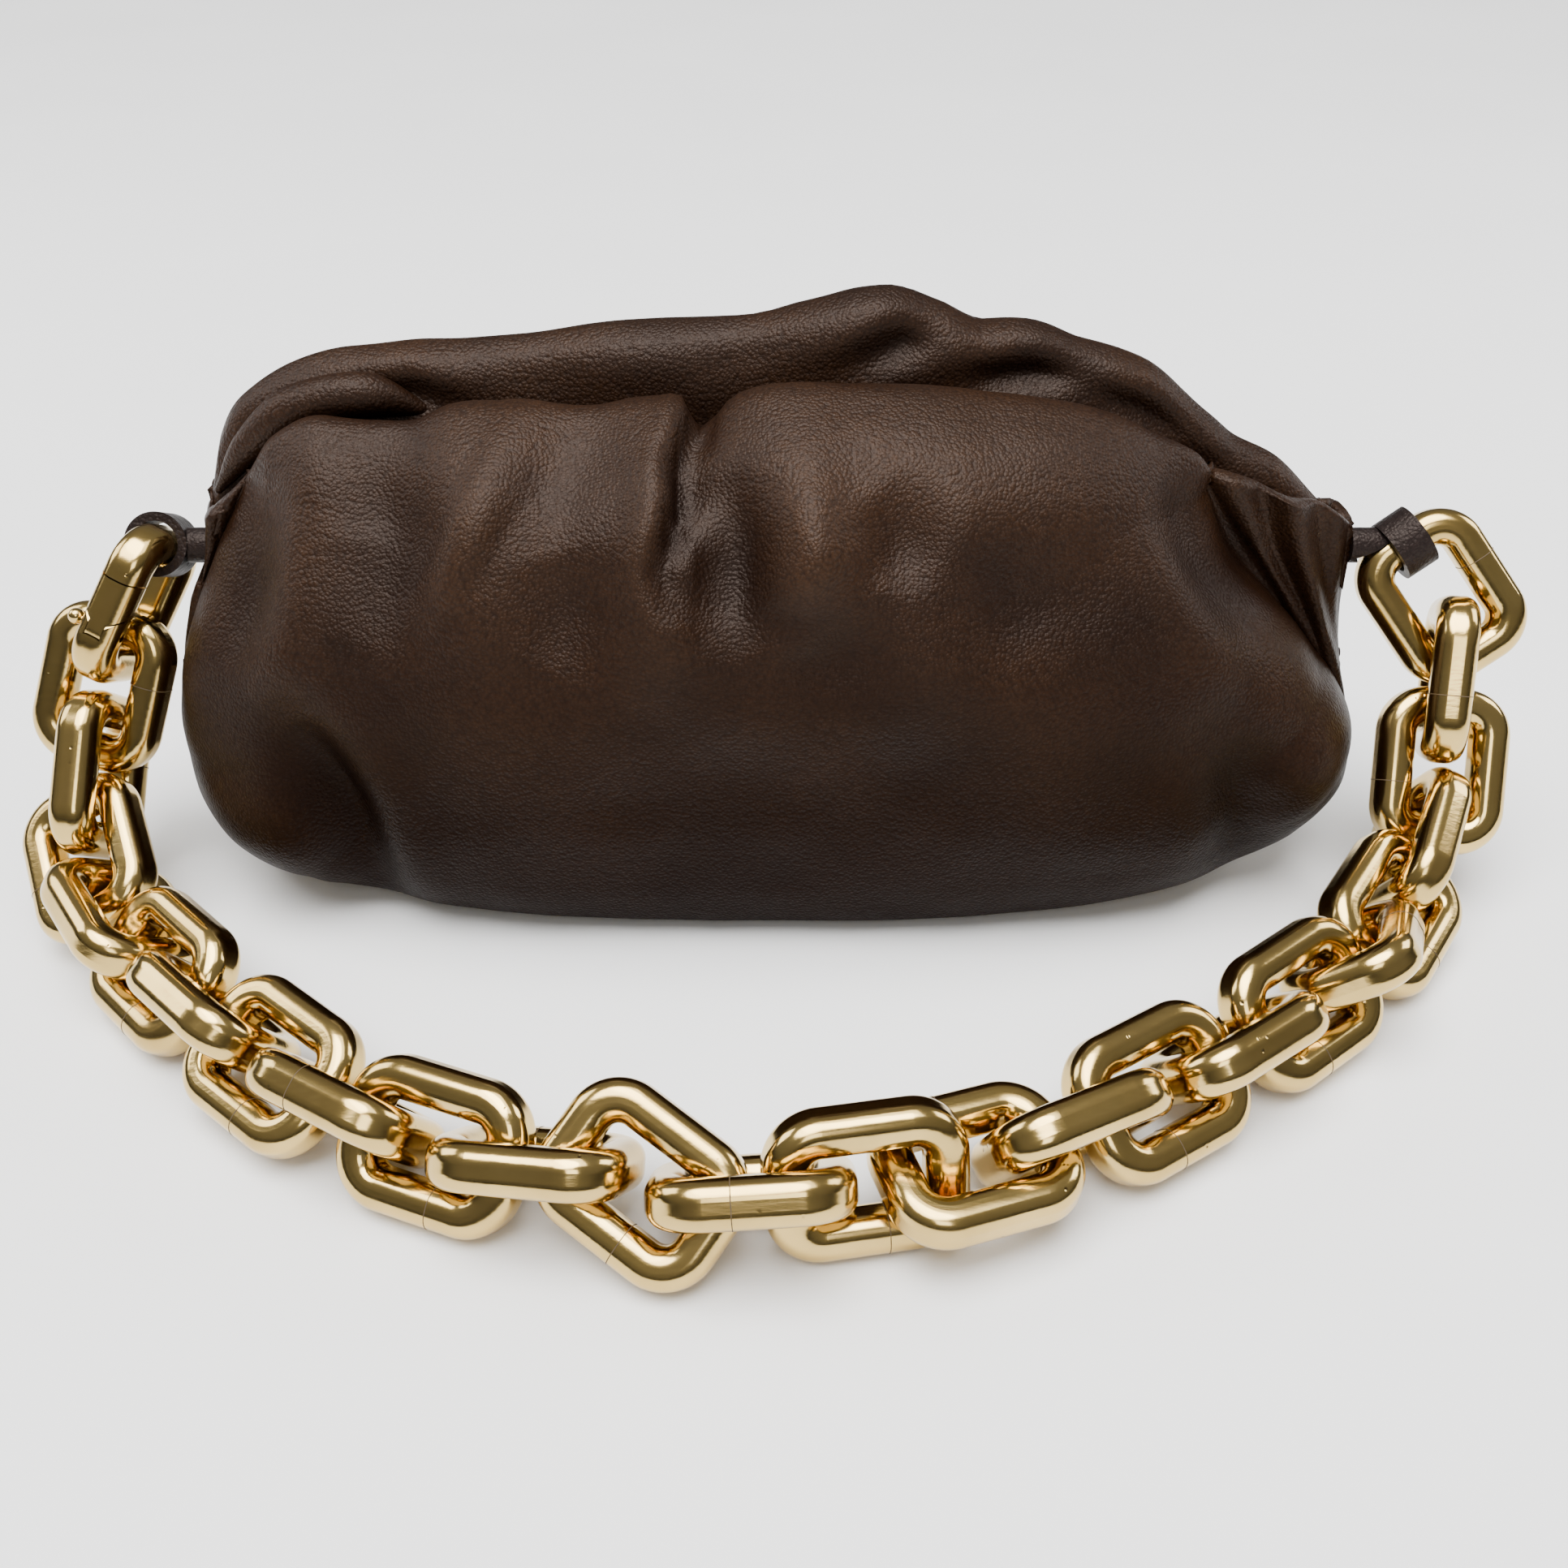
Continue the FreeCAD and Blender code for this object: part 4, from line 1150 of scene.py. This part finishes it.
@dataclass
class Studio:
    """Floor, light and camera, in metres, watts and degrees."""

    floor_reach: float = 12.0
    soft_lights: tuple[SoftLight, ...] = (
        SoftLight("overhead", (0.05, -0.15, 1.10), 0.85, 9.0),
        SoftLight("left_window", (-1.05, 0.25, 0.70), 0.6, 6.0),
        SoftLight("right_window", (1.05, 0.30, 0.65), 0.5, 5.0),
        SoftLight("front_fill", (0.1, -1.20, 0.95), 0.5, 4.0),
    )
    light_aim: Place = (0.0, -0.04, 0.05)
    ceiling_power: float = 5.6
    ceiling_spread: float = 50.0
    ceiling_turn: Place = (10.0, -8.0, 0.0)
    sky_stops: tuple[Point, ...] = ((0.0, 0.10), (0.10, 0.10), (0.35, 0.55), (1.0, 0.80))
    sky_tint: Place = (1.0, 0.985, 0.96)
    sky_strength: float = 0.36
    elevation: float = 35.0
    distance: float = 0.430
    aim: Place = (0.0, -0.050, 0.047)
    lens: float = 37.27
    sensor: float = 36.0
    nearest: float = 0.01

    def build(self, floor_finish: Material) -> None:
        """Set up the stage.

        Args:
            floor_finish: Finish of the floor.
        """
        size = self.floor_reach
        mesh = bpy.data.meshes.new("floor")
        corners = [(-size, -size, 0), (size, -size, 0), (size, size, 0), (-size, size, 0)]
        mesh.from_pydata(corners, [], [(0, 1, 2, 3)])
        floor = link_object("floor", mesh, floor_finish)
        self.lights()
        self.sky()
        self.camera()

    def lights(self) -> None:
        """Hang large soft lights round the bag, under an even ceiling."""
        for plan in self.soft_lights:
            light = bpy.data.lights.new(plan.name, "AREA")
            light.size = plan.size
            light.energy = plan.power
            lamp = bpy.data.objects.new(plan.name, light)
            lamp.location = plan.place
            toward = Vector(self.light_aim) - Vector(plan.place)
            lamp.rotation_euler = toward.to_track_quat("-Z", "Y").to_euler()
            bpy.context.scene.collection.objects.link(lamp)
        ceiling = bpy.data.lights.new("ceiling", "SUN")
        ceiling.energy = self.ceiling_power
        ceiling.angle = math.radians(self.ceiling_spread)
        lamp = bpy.data.objects.new("ceiling", ceiling)
        lamp.rotation_euler = [math.radians(turn) for turn in self.ceiling_turn]
        bpy.context.scene.collection.objects.link(lamp)

    def sky(self) -> None:
        """Paint a room round the stage, pale above and dark at eye level."""
        world = bpy.data.worlds.new("room")
        bpy.context.scene.world = world
        world.use_nodes = True
        graph = NodeGraph(world.node_tree)
        direction = graph.add("ShaderNodeTexCoord").outputs["Generated"]
        height = graph.add("ShaderNodeSeparateXYZ", {"Vector": direction}).outputs["Z"]
        ramp = graph.add("ShaderNodeValToRGB", {"Fac": height})
        elements = ramp.color_ramp.elements
        while len(elements) < len(self.sky_stops):
            elements.new(0.5)
        for element, (place, value) in zip(elements, self.sky_stops):
            element.position = place
            element.color = (*(value * tint for tint in self.sky_tint), 1.0)
        background = world.node_tree.nodes["Background"]
        graph.fill(background, {"Color": ramp.outputs["Color"], "Strength": self.sky_strength})

    def camera(self) -> None:
        """Put the camera where the picture was taken from."""
        data = bpy.data.cameras.new("camera")
        data.lens = self.lens
        data.sensor_width = self.sensor
        data.clip_start = self.nearest
        camera = bpy.data.objects.new("camera", data)
        tilt = math.radians(self.elevation)
        back = Vector((0.0, -math.cos(tilt), math.sin(tilt))) * self.distance
        camera.location = Vector(self.aim) + back
        camera.rotation_euler = (math.pi / 2 - tilt, 0.0, 0.0)
        bpy.context.scene.collection.objects.link(camera)
        bpy.context.scene.camera = camera


def make_finishes() -> Finishes:
    """Build every finish.

    Returns:
        Materials by name.
    """
    metal = {"texture": Texture.BRUSHED, "bump": (0.12, 0.0002), "roughness": (0.22, 0.42), "metallic": 1.0}
    twill = {"texture": Texture.TWILL, "bump": (0.4, 0.0003), "roughness": (0.70, 0.88), "sheen": 0.2}
    finishes = {
        "leather": LeatherFinish(),
        "tab": LeatherFinish(
            "tab_leather", (0.006, 0.004, 0.004, 1.0), (0.018, 0.011, 0.010, 1.0), folds=False
        ),
        "lining": PlainFinish(
            "lining_twill", (0.075, 0.045, 0.038, 1.0), (0.035, 0.020, 0.017, 1.0), 250.0, **twill
        ),
        "gold": GoldFinish(),
        "frame": PlainFinish("frame_metal", (0.30, 0.285, 0.27, 1.0), (0.16, 0.15, 0.145, 1.0), **metal),
        "magnet": PlainFinish("magnet_plating", (0.62, 0.62, 0.63, 1.0), (0.40, 0.40, 0.41, 1.0), **metal),
        "board": PlainFinish("board_fibre", (0.05, 0.04, 0.036, 1.0), (0.02, 0.016, 0.015, 1.0)),
        "thread": PlainFinish("dark_thread", (0.030, 0.016, 0.012, 1.0), (0.012, 0.006, 0.005, 1.0), 900.0),
        "seam": PlainFinish("joint_line", (0.10, 0.060, 0.022, 1.0), (0.05, 0.030, 0.012, 1.0), 300.0),
        "floor": PlainFinish("pale_floor", (0.93, 0.93, 0.93, 1.0), (0.91, 0.91, 0.91, 1.0), 6.0),
    }
    return {name: finish.make() for name, finish in finishes.items()}


def main() -> None:
    """Build the bag piece by piece, then its stage."""
    logging.basicConfig(level=logging.INFO, format="%(message)s")
    finishes = make_finishes()
    Pouch().build(finishes)
    Chain().build(finishes)
    Hardware().build(finishes)
    Studio().build(finishes["floor"])


if __name__ == "__main__":
    main()
